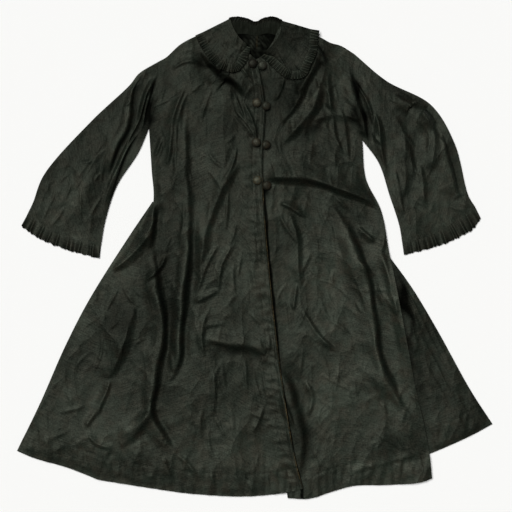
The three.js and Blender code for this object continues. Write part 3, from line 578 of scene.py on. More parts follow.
# The deepest folds: a crest along the upper left of each line and a hollow along the other side
DeepFold = namedtuple("DeepFold", "half high hollow line")
DEEP_FOLDS = [DeepFold(*row) for row in (
    (8, -4, 1, [(-124, 458), (-107, 433), (-85, 409), (-58, 392), (-32, 365), (-8, 339)]),
    (6, 6.5, 0.8, [(-226, 428), (-246, 398), (-260, 374), (-267, 342), (-273, 298), (-281, 267),
                   (-297, 240), (-312, 200), (-324, 168)]),
    (6.3, 3.6, 1, [(135, 469), (148, 449), (160, 420)]),
    (3, 5, 0.6, [(-216, 392), (-231, 361), (-245, 322), (-255, 295), (-270, 262), (-282, 232)]),
    (3, 5, 0.6, [(-214, 402), (-221, 376), (-228, 349), (-236, 325), (-242, 305), (-250, 272)]),
    (3.6, 6, 0.6, [(-252, 279), (-270, 244), (-292, 196), (-318, 130), (-331, 77)]),
    (7, 6.3, 0.7, [(217, 411), (228, 363), (237, 319), (245, 279), (256, 242)]),
    (9, 5.5, 0.6, [(302, 367), (344, 339), (386, 315), (408, 284)]),
    (9, 5.5, 0.6, [(408, 284), (426, 235), (441, 174), (454, 121)]),
    (7, 2.7, 0.6, [(311, 202), (322, 143), (333, 81)]),
    (7.7, 2.6, 0.6, [(-142, 319), (-144, 235), (-142, 147), (-135, 70)]),
    (7.5, 7.5, 0.6, [(-138, 114), (-135, 48), (-142, -24), (-151, -95), (-157, -172), (-170, -249),
                     (-190, -288)]),
    (7.7, 5.4, 0.6, [(-215, 125), (-217, 70), (-226, 15)]),
    (9, 8.5, 0.6, [(-226, 37), (-215, -29), (-204, -95), (-197, -161), (-206, -227), (-212, -288),
                   (-219, -341), (-197, -392), (-160, -440)]),
    (8, 3.4, 0.6, [(-219, -341), (-243, -368), (-294, -405)]),
    (13, 5, 0.8, [(44, -214), (60, -238), (76, -266), (96, -319), (109, -376), (113, -429),
                  (107, -504)]),
    (9, 4.8, 0.5, [(-118, -186), (-65, -196), (-21, -202), (14, -216), (34, -230)]),
    (11, 10, 0.6, [(166, 125), (195, 86), (217, 46), (237, 4), (254, -51), (265, -117), (276, -194),
                   (294, -260), (320, -315), (344, -354)]),
)]
DEEP_STEP = 9                 # mm between the points of a line
DEEP_REACH = 8                # half widths beyond which a deep fold is not felt
DEEP_ENDS = 0.24              # share of its length over which each end dies out
DEEP_END_WIDTH = 0.6
DEEP_SWING = (0.4, 0.35)      # how much its width and its height change along it
DEEP_SWING_WAVES = (60, 90)
PAST_END = (3, 4)             # half widths: where it starts to fade past its end, and over how far
CREST_SHARE = 1.3
CREST_TAIL = 2.4              # how much further the cloth takes to come down from the crest
HOLLOW_TAIL = 1.5
DEEP_SHADE = 0.37             # how much light a fold as steep as it is deep keeps out
STEEPEST = 1.5
HOLLOW_SHADE = (0.3, 1.3)     # middle and reach of the shade, in half widths of the fold
CREST_LIGHT = (-1.2, 0.8)     # and of the painted highlight along the crest
CREST_LIGHT_SHARE = 1.1
# Painted shade, or painted highlight below 0: place, half width and length, lean in degrees, share
PAINTED_SHADING_PATCHES = [
    (69, 350, 75, 55, 0, 0.5), (118, 335, 8, 72, -33, -0.45), (126, 284, 10, 46, -33, 0.5),
    (214, 380, 9, 45, 14, 0.5), (-190, 395, 26, 34, 0, 0.42), (140, 438, 18, 28, 0, 0.5),
    (-197, -29, 50, 230, 0, 0.3),
    (-300, -134, 35, 35, 0, 0.35), (316, 356, 55, 35, -25, 0.35), (-232, 312, 11, 44, -16, 0.75),
    (232, 306, 14, 52, 12, 0.8), (-107, 429, 13, 32, 42, 0.7), (-63, 389, 11, 36, 48, 0.8),
    (21, 139, 12, 14, 0, 0.8), (-350, 257, 90, 150, -40, 0.28), (78, 429, 60, 55, 0, 0.3),
    (-107, 205, 35, 30, 0, -0.45), (-289, -22, 30, 45, -30, -0.4), (-355, -112, 28, 60, -25, -0.3),
    (-85, -315, 35, 130, 0, -0.25), (390, 114, 30, 45, 0, -0.35), (-390, 136, 32, 45, -20, -0.45),
    (133, -29, 45, 55, 0, -0.35), (193, -304, 95, 110, 0, -0.35), (-43, 15, 50, 60, 0, -0.2),
    (305, -75, 18, 75, 14, -0.3), (-110, 280, 110, 130, 0, 0.25), (140, 250, 110, 110, 0, 0.18),
    (-60, -70, 110, 130, 0, -0.15), (150, -160, 110, 200, 0, -0.15), (-330, -400, 140, 45, 0, -0.3),
    (-80, -450, 160, 50, 0, -0.25), (180, -460, 90, 40, 0, -0.2), (322, -345, 30, 100, 6, -0.25),
    (-378, 170, 80, 70, 0, 0.16),
    (250, -470, 130, 45, 0, -0.4), (296, -150, 26, 170, 9, -0.35),
    (-280, -150, 45, 160, -12, 0.25), (-42, -214, 46, 16, 8, 0.5), (18, -232, 20, 20, 0, 0.45),
    (-120, 60, 90, 90, 0, 0.1), (-430, -452, 110, 28, -19, -0.28), (-180, -505, 180, 24, -3, -0.22),
    (-470, -436, 60, 26, -19, -0.25), (-322, -372, 40, 35, 0, 0.2), (-30, -330, 75, 110, 0, -0.14),
]
PATCH_WANDER = 14
PATCH_WANDER_WAVE = 40
PAINTED_SHADING_LIMITS = (-0.75, 0.92)
# On the left front, in the shade of the lapping edge
UNDER_LAP = [(84, -312, 15, 50, 10, 0.5), (106, -388, 20, 42, 12, 0.5)]
# On the left side panel, in the shade of the front's edge
UNDER_EDGE = [(327, -88, 11, 70, 13, 0.85), (349, -210, 9, 130, 10, 0.5), (440, -270, 70, 150, 35, 0.1)]
# Smaller creases, which the solids leave out
CREASE_WIDTH = 0.78
CREASES = [Fold(*row[:5], CREASE_WIDTH * row[5], CREASE_WIDTH * row[6], row[7]) for row in (
    (-47, 24, -78, -75, 9, 13, 11, 5),
    (-80, -75, -131, -95, 0, 13, 11, 6), (-104, -125, -111, -209, 4, 13, 11, 6),
    (-320, -277, -344, -345, 0, 16, 13, 6), (-366, -389, -313, -416, 9, 16, 13, 5),
    (-3, 264, -45, 317, 0, 10, 9, 4), (21, -332, -1, -383, 0, 13, 11, 4),
    (-197, 2, -236, -53, -4, 16, 13, 8), (164, 403, 166, 323, 0, 18, 18, 8),
    (171, 306, 195, 231, 7, 13, 11, 5), (58, 117, 107, 90, -2, 16, 11, 7),
    (122, 4, 105, -33, 0, 10, 9, 3), (107, -121, 179, -205, 9, 16, 14, 6),
    (91, -59, 87, -119, 0, 12, 12, 5), (285, 46, 300, -95, 4, 20, 16, 6),
    (226, 389, 256, 288, -7, 13, 12, 7),
    (366, 202, 373, 114, 0, 22, 20, 5), (-178, 413, -122, 424, -9, 14, 12, 5),
    (-148, 363, -175, 210, 6, 10, 9, 4), (-38, 232, -68, 170, -4, 12, 10, 5),
    (6, 246, -20, 333, 3, 11, 9, 4), (-40, 350, -24, 304, 0, 10, 9, 4),
    (134, 440, 92, 352, -8, 11, 9, 5), (190, 318, 206, 220, 0, 16, 14, 5),
    (70, 388, 44, 346, -4, 12, 10, 4), (-205, 265, -238, 175, 0, 14, 12, 5),
    (-216, 82, -250, 38, -5, 14, 12, 5), (-326, -290, -372, -370, -5, 20, 16, 6),
    (-200, -440, -186, -478, 0, 12, 11, 5), (-170, -432, -130, -470, -4, 12, 11, 4),
    (-90, -250, -92, -344, -5, 14, 12, 5), (-72, -146, -116, -160, 3, 12, 10, 4),
    (-82, 22, -126, -74, 4, 12, 10, 5), (225, 68, 262, 36, 0, 16, 12, 6),
    (228, -8, 266, -40, 0, 14, 12, 5), (300, -84, 316, -124, 0, 14, 12, 5),
    (112, -276, 118, -350, -10, 20, 16, 5), (360, -190, 388, -282, 0, 16, 14, 5),
    (404, -308, 420, -346, 0, 14, 12, 5), (214, -474, 372, -436, -8, 16, 12, 2),
    (60, -300, 84, -370, 0, 16, 12, 5), (312, 300, 352, 172, -6, 30, 26, 6),
    (-330, 240, -420, 120, 6, 30, 26, 3),
)]

RIGHT_SHOULDER_AND_NECK = [(-208, 431), (-195, 438), (-164, 466), (-131, 484), (-58, 512), (-40, 482),
                           (-18, 453), (8, 429)]
RIGHT_SIDE_SEAM = [(-232, 284), (-226, 190), (-222, 124), (-252, -29), (-296, -249), (-342, -490)]
RIGHT_OUTLINE = [(-222, 124), (-276, 45), (-364, -95), (-417, -198), (-471, -321), (-522, -426)]
RIGHT_PANEL_HEM = [(-522, -426), (-484, -442), (-411, -463), (-345, -485)]
RIGHT_FRONT_HEM = [(-342, -490), (-228, -508), (-141, -520), (-16, -526), (71, -517), (107, -508)]
RIGHT_FRONT_EDGE = [(8, 429), (24, 334), (19, 231), (19, 145), (29, 9), (57, -249), (91, -451), (107, -508)]
LEFT_FRONT_EDGE = [(-14, 427), (1, 334), (-4, 231), (-4, 145), (6, 9), (32, -249), (63, -469), (73, -530)]
LEFT_FRONT_HEM = [(73, -530), (121, -531), (166, -517), (218, -503), (291, -501), (364, -495), (390, -486)]
LEFT_FRONT_SIDE = [(237, 257), (245, 172), (278, 103), (295, 15), (313, -79), (350, -271), (383, -425),
                   (390, -486)]
LEFT_OUTLINE = [(290, 10), (347, -69), (402, -161), (475, -293), (523, -367)]
LEFT_PANEL_INNER = [(268, 10), (292, -120), (326, -290), (352, -446)]
LEFT_PANEL_HEM = [(352, -446), (420, -418), (475, -393), (523, -367)]
LEFT_NECK_AND_SHOULDER = [(-14, 427), (14, 440), (40, 472), (60, 507), (143, 483), (166, 471), (190, 464),
                          (218, 447)]
RIGHT_SLEEVE_OUTER = [(-208, 431), (-254, 403), (-274, 378), (-360, 297), (-463, 180), (-487, 119),
                      (-500, 92)]
RIGHT_SLEEVE_INNER = [(-232, 284), (-256, 229), (-302, 158), (-328, 80), (-338, 24)]
RIGHT_CUFF_SEAM = [(-500, 92), (-424, 48), (-338, 24)]
LEFT_SLEEVE_OUTER = [(218, 447), (290, 387), (388, 334), (440, 249), (470, 135), (485, 110)]
LEFT_SLEEVE_INNER = [(237, 257), (273, 207), (297, 135), (318, 70), (325, 29)]
LEFT_CUFF_SEAM = [(325, 29), (402, 54), (485, 110)]
OUTLINE_STEPS = 24
OUTLINE = [along(line, OUTLINE_STEPS) for line in (
    RIGHT_OUTLINE, LEFT_OUTLINE, RIGHT_SLEEVE_OUTER, RIGHT_SLEEVE_INNER, LEFT_SLEEVE_OUTER,
    LEFT_SLEEVE_INNER, RIGHT_PANEL_HEM, RIGHT_FRONT_HEM, LEFT_FRONT_HEM, LEFT_PANEL_HEM,
    RIGHT_SIDE_SEAM[:3], LEFT_FRONT_SIDE[:3], RIGHT_CUFF_SEAM, LEFT_CUFF_SEAM,
    RIGHT_SHOULDER_AND_NECK[:4], LEFT_NECK_AND_SHOULDER[4:],
)]

LATTICE = 64                  # points each way before the noise repeats
NOISE_SHIFT = 500
NOISE_GAIN = 1.6
RIDGE_NARROW = 2.2            # how narrow the crests of the crumple are, and how sharp
RIDGE_SHARP = 1.5


def noise(x, y, wave, seed):
    """Smooth gradient noise from about -1 to 1. wave is its typical size in mm."""
    angle = np.random.default_rng(seed).uniform(0, 2 * np.pi, (LATTICE, LATTICE))
    x, y = np.asarray(x, float) / wave + NOISE_SHIFT, np.asarray(y, float) / wave + NOISE_SHIFT
    i, j = np.floor(x).astype(int), np.floor(y).astype(int)
    fx, fy = x - i, y - j
    u, v = (f**3 * (f * (f * 6 - 15) + 10) for f in (fx, fy))

    def lobe(di, dj):
        turn = angle[(i + di) % LATTICE, (j + dj) % LATTICE]
        return np.cos(turn) * (fx - di) + np.sin(turn) * (fy - dj)

    below = lobe(0, 0) * (1 - u) + lobe(1, 0) * u
    above = lobe(0, 1) * (1 - u) + lobe(1, 1) * u
    return NOISE_GAIN * (below * (1 - v) + above * v)


def ridges(x, y, wave, seed):
    """Sharp-crested noise from 0 to 1, as crumpled taffeta lies."""
    return np.clip(1 - RIDGE_NARROW * np.abs(noise(x, y, wave, seed)), 0, 1) ** RIDGE_SHARP


def distance_to_lines(x, y, lines):
    nearest = np.full(np.shape(x), np.inf)
    for line in lines:
        for a, b in zip(line[:-1], line[1:]):
            d = b - a
            t = np.clip(((x - a[0]) * d[0] + (y - a[1]) * d[1]) / (d @ d), 0, 1)
            nearest = np.minimum(nearest, (x - a[0] - d[0] * t) ** 2 + (y - a[1] - d[1] * t) ** 2)
    return np.sqrt(nearest)


def fold_height(fold, x, y):
    """A broad fold, with a gentle lit side and a steep shaded one."""
    dx, dy = fold.x1 - fold.x0, fold.y1 - fold.y0
    length = np.hypot(dx, dy)
    t = ((x - fold.x0) * dx + (y - fold.y0) * dy) / length**2
    right = (dy / length, -dx / length)
    aside = (x - fold.x0) * right[0] + (y - fold.y0) * right[1] - fold.bow * 4 * t * (1 - t)
    right_is_lit = right[0] * LIT_SIDE[0] + right[1] * LIT_SIDE[1] > 0
    middle = np.sin(np.pi * np.clip((t + FOLD_RUN_ON) / (1 + 2 * FOLD_RUN_ON), 0, 1))
    width = np.where((aside > 0) == right_is_lit, fold.lit * GENTLE, fold.shaded * STEEP)
    width = width * (FOLD_END_WIDTH + (1 - FOLD_END_WIDTH) * middle)
    across = np.clip(1 - np.hypot(aside / width, CREST_ROUND) + CREST_ROUND, 0, 1)
    swing_wave = FOLD_SWING_WAVE[0] * length + FOLD_SWING_WAVE[1]
    uneven = noise(x, y, swing_wave, int(abs(fold.x0 * 7 + fold.y1)))
    ends = ease(middle / FOLD_TAPER) * (1 + FOLD_SWING * uneven)
    return fold.high * ends * across * (FOLD_SHOULDER + (1 - FOLD_SHOULDER) * across)


def merged(folds, x, y):
    return sum(fold_height(fold, x, y) ** FOLD_MERGE for fold in folds) ** (1 / FOLD_MERGE)


def deep_fold_relief(fold, x, y, shade=False):
    """Height of the cloth along a deep fold: up to a crest on its lit side, then steeply to a hollow.
    With shade it gives its painted shade over the hollow and, below 0, painted highlight on the crest."""
    line = along(fold.line, steps_for(fold.line, DEEP_STEP))
    reach = DEEP_REACH * fold.half
    near = (x > line[:, 0].min() - reach) & (x < line[:, 0].max() + reach) & (
        y > line[:, 1].min() - reach) & (y < line[:, 1].max() + reach)
    relief = np.zeros(np.shape(x))
    if not near.any():
        return relief
    px, py = x[near], y[near]
    nearest, aside, run = (np.full(px.shape, value) for value in (np.inf, 0.0, 0.0))
    for k, (a, b) in enumerate(zip(line[:-1], line[1:])):
        dx, dy = b - a
        length = np.hypot(dx, dy)
        t = np.clip(((px - a[0]) * dx + (py - a[1]) * dy) / length**2, 0, 1)
        distance = np.hypot(px - a[0] - dx * t, py - a[1] - dy * t)
        closer = distance < nearest
        right_is_lit = dy * LIT_SIDE[0] - dx * LIT_SIDE[1] > 0
        to_right = ((px - a[0]) * dy - (py - a[1]) * dx) / length
        shaded = np.sign(-to_right if right_is_lit else to_right)
        nearest = np.where(closer, distance, nearest)
        aside = np.where(closer, shaded * distance, aside)
        run = np.where(closer, (k + t) / (len(line) - 1), run)
    ends = ease(np.minimum(run, 1 - run) / DEEP_ENDS)
    half = fold.half * (DEEP_END_WIDTH + (1 - DEEP_END_WIDTH) * ends)
    half = half * (1 + DEEP_SWING[0] * noise(px, py, DEEP_SWING_WAVES[0], 77))
    ends = ends * (1 + DEEP_SWING[1] * noise(px, py, DEEP_SWING_WAVES[1], 78))
    if shade:
        hollow, crest = (np.exp(-(((aside / half - middle) / width) ** 2))
                         for middle, width in (HOLLOW_SHADE, CREST_LIGHT))
        steep = np.clip(fold.high / fold.half, 0, STEEPEST)
        relief[near] = DEEP_SHADE * steep * ends * (hollow - CREST_LIGHT_SHARE * crest)
        return relief
    q = np.abs(aside) / half
    tail = np.where(aside < 0, CREST_TAIL, HOLLOW_TAIL)
    shape = np.where(q < 1, q * np.exp(0.5 * (1 - q**2)), np.exp(-(((q - 1) / tail) ** 2)))
    past_end = np.maximum(nearest - PAST_END[0] * fold.half, 0) / (PAST_END[1] * fold.half)
    side = np.where(aside < 0, CREST_SHARE, -fold.hollow)
    relief[near] = fold.high * ends * np.clip(1 - past_end, 0, 1) * shape * side
    return relief


def scattered_creases():
    draw = np.random.default_rng(SCATTER_SEED)
    rows = []
    for _ in range(SCATTERED):
        x, y = draw.uniform(*SCATTER_X), draw.uniform(*SCATTER_Y)
        hang = np.arctan2(y - FAN_ORIGIN, x) + draw.normal(0, SCATTER_TURN)
        reach = draw.uniform(*SCATTER_LENGTH) / 2
        dx, dy = reach * np.cos(hang), reach * np.sin(hang)
        width = draw.uniform(*SCATTER_WIDTH)
        rows.append(Fold(x - dx, y - dy, x + dx, y + dy, draw.normal(0, SCATTER_BOW), width,
                         width * SCATTER_SHADED, width * draw.uniform(*SCATTER_STEEPNESS)))
    return rows


def crease_height(fold, x, y):
    dx, dy = fold.x1 - fold.x0, fold.y1 - fold.y0
    length = np.hypot(dx, dy)
    t = ((x - fold.x0) * dx + (y - fold.y0) * dy) / length**2
    aside = ((x - fold.x0) * dy - (y - fold.y0) * dx) / length - fold.bow * 4 * t * (1 - t)
    ends = np.clip(4 * t * (1 - t), 0, 1)
    width = fold.lit * (CREASE_END_WIDTH + (1 - CREASE_END_WIDTH) * ends)
    across = np.clip(1 - np.abs(aside) / width, 0, 1)
    return fold.high * ends * across * (FOLD_SHOULDER + (1 - FOLD_SHOULDER) * across)


SMALL_CREASES = scattered_creases()


def small_creases(x, y):
    flat_x, flat_y = np.ravel(x), np.ravel(y)
    high = np.zeros(flat_x.size)
    for crease in SMALL_CREASES:
        reach = np.hypot(crease.x1 - crease.x0, crease.y1 - crease.y0) / 2 + SCATTER_MARGIN
        near = (np.abs(flat_x - (crease.x0 + crease.x1) / 2) < reach) & (
            np.abs(flat_y - (crease.y0 + crease.y1) / 2) < reach)
        if near.any():
            high[near] = np.maximum(high[near], crease_height(crease, flat_x[near], flat_y[near]))
    return high.reshape(np.shape(x))


def strayed(x, y):
    """Folds are drawn as even lines, and lie a little to one side or the other of them."""
    return x + WANDER * noise(x, y, WANDER_WAVE, 3), y + WANDER * noise(x, y, WANDER_WAVE, 4)


def upper(x, y):
    """Underside of the upper cloth over a place, in mm."""
    wx, wy = strayed(x, y)
    inside = distance_to_lines(x, y, OUTLINE)
    relief = merged(FOLDS, wx, wy) + CREASE_SHARE * merged(CREASES, wx, wy)
    relief = relief + sum(deep_fold_relief(fold, wx, wy) for fold in DEEP_FOLDS) + small_creases(x, y)
    across, down = FAN_APEX * np.arctan2(wx, FAN_ORIGIN - wy), np.hypot(wx, FAN_APEX - wy)
    for k, (wave, high, stretch) in enumerate(BROAD):
        relief = relief + high * noise(across, down / stretch, wave, 10 + k)
    for k, (wave, high, stretch) in enumerate(CRUMPLE):
        patchy = CRUMPLE_SHARE[0] + CRUMPLE_SHARE[1] * noise(x, y, CRUMPLE_PATCH * wave, 30 + k)
        patchy = np.clip(patchy, 0, CRUMPLE_MOST)
        relief = relief + high * patchy * ridges(across, down / stretch, wave, 20 + k)
    rise = (PUFF + EXTRA_PUFF) * ease(inside / PUFF_RAMP) + relief * ease(inside / FOLD_FADE)
    return LAYER + fall_lift(x, y) + (rise + np.hypot(rise, LEAST_RISE)) / 2


def dullness(x, y, patches=PAINTED_SHADING_PATCHES):
    """How much painted shade darkens the silk over a place. Below 0 it is painted highlight."""
    shades = [deep_fold_relief(fold, *strayed(x, y), shade=True) for fold in DEEP_FOLDS]
    total = np.max(shades, axis=0) + np.min(shades, axis=0)
    wx = x + PATCH_WANDER * noise(x, y, PATCH_WANDER_WAVE, 91)
    wy = y + PATCH_WANDER * noise(x, y, PATCH_WANDER_WAVE, 92)
    for patch_x, patch_y, half_width, half_length, lean, share in patches:
        turned = np.radians(lean)
        across = (wx - patch_x) * np.cos(turned) + (wy - patch_y) * np.sin(turned)
        down = (wy - patch_y) * np.cos(turned) - (wx - patch_x) * np.sin(turned)
        total = total + share * np.exp(-((across / half_width) ** 2) - (down / half_length) ** 2)
    return total.clip(*PAINTED_SHADING_LIMITS)


def edge_at(points, y):
    table = np.asarray(points, float)[::-1]
    return np.interp(y, table[:, 1], table[:, 0])


def ramp_to(hidden_edge, x, y):
    return ease(1 + (x - edge_at(hidden_edge, y) + LAP_MARGIN) / LAP_RAMP)


def lap_lift(x, y):
    return LAP_LIFT * ramp_to(LEFT_FRONT_EDGE, x, y)


def panel_lift(x, y):
    below_waist = ease((PANEL_LIFT_Y - y) / SIDE_ROLL_RAMP)
    near_edge = ease(1 - (edge_at(LEFT_FRONT_SIDE, y) - x) / SIDE_ROLL_WIDTH)
    along_edge = ease((SIDE_ROLL_TOP - y) / SIDE_ROLL_RAMP) * ease((y - SIDE_ROLL_END) / SIDE_ROLL_FADE)
    return (PANEL_LIFT * ramp_to(LEFT_PANEL_INNER, x, y) + SIDE_ROLL * near_edge * along_edge) * below_waist


def stitched(distance, run, at, seed):
    """Relief of a line of stitches at a distance from an edge: the stitches sink in and the cloth puckers."""
    sunk = -STITCH_PULL * np.exp(-(((distance - at) / STITCH_WIDTH) ** 2))
    near = np.exp(-(((distance - at) / PUCKER_REACH) ** 2))
    return sunk + PUCKER * near * noise(run, distance * PUCKER_STRETCH, PUCKER_PITCH, seed)


def hem_relief(places, seed):
    """Turned-up hem: a stitch line and the puckers that run up from the edge to it."""
    step = np.linalg.norm(np.diff(places, axis=0, append=places[-1:]), axis=2)
    up = step[::-1].cumsum(axis=0)[::-1]
    inside = ease((HEM_TURNING + HEM_RAMP / 2 - up) / HEM_RAMP)
    draw = noise(places[..., 0], up * HEM_STRETCH, PUCKER_PITCH * HEM_PITCH, seed + 1)
    return stitched(up, places[..., 0], HEM_TURNING, seed) + inside * (TURNING_RISE + HEM_WAVE * draw)


def edge_relief(distance, y, seed):
    inside = ease((EDGE_TURNING + EDGE_RAMP / 2 - distance) / EDGE_RAMP)
    return stitched(distance, y, EDGE_TURNING, seed) + TURNING_RISE * inside


def side_line(armscye, seam):
    return np.vstack([along(armscye, ARMSCYE_ROWS), along(seam, SIDE_ROWS)[1:]])


def with_columns_at(shares, places):
    """The same cloth, with its columns at these shares of its width."""
    even = np.linspace(0, 1, places.shape[1])
    return np.stack([[np.interp(shares, even, row) for row in places[..., axis]] for axis in (0, 1)], -1)


BODY_ROWS = ARMSCYE_ROWS + SIDE_ROWS
right_places = patch(along(RIGHT_SHOULDER_AND_NECK, FRONT_COLUMNS), along(RIGHT_FRONT_HEM, FRONT_COLUMNS),
                     side_line(RIGHT_ARMSCYE, RIGHT_SIDE_SEAM), along(RIGHT_FRONT_EDGE, BODY_ROWS))
crowded = 1 - (1 - np.linspace(0, 1, FRONT_COLUMNS + 1)) ** EDGE_CROWDING
right_places = with_columns_at(crowded, right_places)
x, y = right_places[..., 0], right_places[..., 1]
from_edge = right_places[:, -1:, 0] - x
curl = EDGE_CURL * np.exp(-(((from_edge - CURL_AT) / CURL_WIDTH) ** 2))
curl = curl * (1 + CURL_SWING * noise(y, 0 * x, CURL_WAVE, 53))
under = (upper(x, y) + lap_lift(x, y) + hem_relief(right_places, 51) + curl
         + edge_relief(from_edge, y, 52) * ease(from_edge / EDGE_RAMP))
worn = np.clip(WORN_FULL - from_edge / WORN_WIDTH, 0, 1) * ease((WORN_FROM - y) / WORN_FADE)
worn = worn * (WORN_SHARE[0] + WORN_SHARE[1] * noise(y, 0 * x, WORN_WAVE, 54))
right_front = cloth("front_right", right_places, under + SHELL_UP, silk, worn=worn.clip(0, 1),
                    dull=dullness(x, y))
lay(right_front, "right_front")

left_places = patch(along(LEFT_NECK_AND_SHOULDER, FRONT_COLUMNS), along(LEFT_FRONT_HEM, FRONT_COLUMNS),
                    along(LEFT_FRONT_EDGE, BODY_ROWS), side_line(LEFT_ARMSCYE, LEFT_FRONT_SIDE))
left_places = with_columns_at(1 - crowded[::-1], left_places)
x, y = left_places[..., 0], left_places[..., 1]
# Painted shade on the left front, in the gap beside the lapping edge
from_lap = x - edge_at(RIGHT_FRONT_EDGE, y)
gap_width = GAP_WIDTH * (1 + GAP_SWING * noise(y, 0 * x, GAP_WAVE, 56))
gap_width = gap_width * (GAP_LOW + (1 - GAP_LOW) * ease((y - GAP_LOW_Y) / GAP_LOW_RAMP))
gap = np.clip((gap_width - from_lap) / GAP_BLUR, 0, 1) * (from_lap > -GAP_UNDER)
gap = GAP_SHADE * gap * ease((WORN_FROM - y) / GAP_FADE)
under = upper(x, y) + panel_lift(x, y) + hem_relief(left_places, 61)
left_front = cloth("front_left", left_places, under + SHELL_UP, silk,
                   dull=gap + (1 - gap) * dullness(x, y, PAINTED_SHADING_PATCHES + UNDER_LAP))
lay(left_front, "left_front")

seam = along(RIGHT_SIDE_SEAM, SIDE_ROWS)
inner = offset(seam[seam[:, 1] < RIGHT_OUTLINE[0][1]], SEWN)
corner = (inner[0, 0] - PANEL_TIP, inner[0, 1])
outer = along([corner] + RIGHT_OUTLINE[1:], len(inner) - 1)
panel_places = patch(along([corner, inner[0]], PANEL_COLUMNS),
                     along(RIGHT_PANEL_HEM[:3] + [tuple(inner[-1])], PANEL_COLUMNS), outer, inner)
x, y = panel_places[..., 0], panel_places[..., 1]
right_panel = cloth("side_panel_right", panel_places,
                    upper(x, y) + hem_relief(panel_places, 71) + SHELL_UP, silk, dull=dullness(x, y))
lay(right_panel, "right_side_panel")

inner = along(LEFT_PANEL_INNER, PANEL_ROWS)
outer = along(LEFT_OUTLINE, PANEL_ROWS)
panel_places = patch(along([inner[0], outer[0]], PANEL_COLUMNS), along(LEFT_PANEL_HEM, PANEL_COLUMNS),
                     inner, outer)
x, y = panel_places[..., 0], panel_places[..., 1]
clear = ease((x - edge_at(LEFT_FRONT_SIDE, y)) / PANEL_CLEAR[0])
clear = clear * ease(distance_to_lines(x, y, OUTLINE) / PANEL_CLEAR[1])
fan, down = np.linspace(0, PANEL_FAN, PANEL_COLUMNS + 1)[None] + 0 * y, y / PANEL_STRETCH
wrinkles = (PANEL_RIDGES[0] * ridges(fan, down, PANEL_RIDGES[1], 81)
            + PANEL_WAVES[0] * np.abs(noise(fan, down, PANEL_WAVES[1], 82)))
left_panel = cloth("side_panel_left", panel_places,
                   LAYER + SHELL_UP + clear * (wrinkles + hem_relief(panel_places, 83).clip(0)), silk,
                   dull=dullness(x, y, UNDER_EDGE))
lay(left_panel, "left_side_panel")


# The sleeves. Each is a tube of lined silk pressed flat: the upper half carries the folds and the
# under half lies on the table. They are sewn into the armscyes and hang a little open at the cuff.
SLEEVE_ROWS = 128
HEAD_COLUMNS = 98
UNDER_SLEEVE_SHARE = 0.98
UNDER_THINNED = (4, 14)       # the hidden half keeps one row in 4 and one column in 14
GATHER_RISE = 0.7             # small gathers where the frill is sewn on
GATHER_REACH = 16
GATHER_WAVE = 9
GATHER_STRETCH = 0.2
HEAD_SEAM_SUNK = 0.8
HEAD_SEAM_WIDTH = 3
HEAD_SEAM_FROM = 2
Sleeve = namedtuple("Sleeve", "side away head cuff left right seed")
SLEEVES = [
    Sleeve("right", -SEWN, RIGHT_ARMSCYE, RIGHT_CUFF_SEAM, RIGHT_SLEEVE_OUTER, RIGHT_SLEEVE_INNER, 91),
    Sleeve("left", SEWN, LEFT_ARMSCYE[::-1], LEFT_CUFF_SEAM, LEFT_SLEEVE_INNER, LEFT_SLEEVE_OUTER, 95),
]
for sleeve in SLEEVES:
    places = patch(along(sleeve.head, HEAD_COLUMNS), along(sleeve.cuff, HEAD_COLUMNS),
                   along(sleeve.left, SLEEVE_ROWS), along(sleeve.right, SLEEVE_ROWS))
    x, y = places[..., 0], places[..., 1]
    step = np.linalg.norm(np.diff(places, axis=0, append=places[-1:]), axis=2)
    to_cuff = step[::-1].cumsum(axis=0)[::-1]
    from_head = step.cumsum(axis=0) - step
    gathers = GATHER_RISE * np.exp(-to_cuff / GATHER_REACH)
    gathers = gathers * noise(x + y, to_cuff * GATHER_STRETCH, GATHER_WAVE, sleeve.seed)
    head = -HEAD_SEAM_SUNK * np.exp(-((from_head / HEAD_SEAM_WIDTH) ** 2)) * ease(from_head / HEAD_SEAM_FROM)
    moved = places + (sleeve.away, 0)
    top = cloth(f"sleeve_{sleeve.side}_upper", moved, upper(x, y) + gathers + head + SHELL_UP, silk,
                dull=dullness(x, y))
    lay(top, f"{sleeve.side}_sleeve_top")
    middle = moved[SLEEVE_ROWS // 2, HEAD_COLUMNS // 2]
    low = middle + (moved[::UNDER_THINNED[0], ::UNDER_THINNED[1]] - middle) * UNDER_SLEEVE_SHARE
    bottom = cloth(f"sleeve_{sleeve.side}_lower", low, np.zeros(low.shape[:2]), silk, CLOTH - SEAM)
    lay(bottom, f"{sleeve.side}_sleeve_under")


# The cuff frills. Gathered strips of the same silk at the end of each sleeve, one layer seen from
# above and the rest of the ring beneath it. They are sewn to the cuff by their gathered edge.
FRILL_INNER_WAVE = 0.35
FRILL_OUTER_WAVE = 1.6
CUFF_WAVES = 21
PARTS = 14                    # points to a wave
PLEAT_STEEP = 0.26
PLEAT_PITCH = 1.25            # pleats to a drawn wave
PLEAT_STRAY = 0.45
PLEAT_LEAN = 0.55
PLEAT_LEAN_WAVE = 3.1
PLEAT_STRAY_WAVE = 1.9
PLEAT_SIZE = (0.7, 0.5)       # on average, and how much it changes
PLEAT_SIZE_WAVE = 1.6
PLEAT_SWELL = 0.5
PLEAT_SWELL_WAVE = 4.5
PLEAT_OPENING = 0.8           # how soon a pleat opens towards the free edge
EDGE_JAG = 0.07
EDGE_JAG_WAVE = 1.1
PLEAT_SHADE = 1.3             # painted shade between the pleats, and painted highlight on their crests
PLEAT_MIDDLE = 0.6
FRILL_CLOTH = 0.8             # mm: one layer of silk with its edge turned
FRILL_ROWS = 9
UNDER_SHARE = 0.3
RIGHT_CUFF_EDGE = [(-513, 68), (-483, 45), (-415, 16), (-341, -4)]
LEFT_CUFF_EDGE = [(329, 4), (366, 13), (424, 31), (482, 62), (498, 84)]

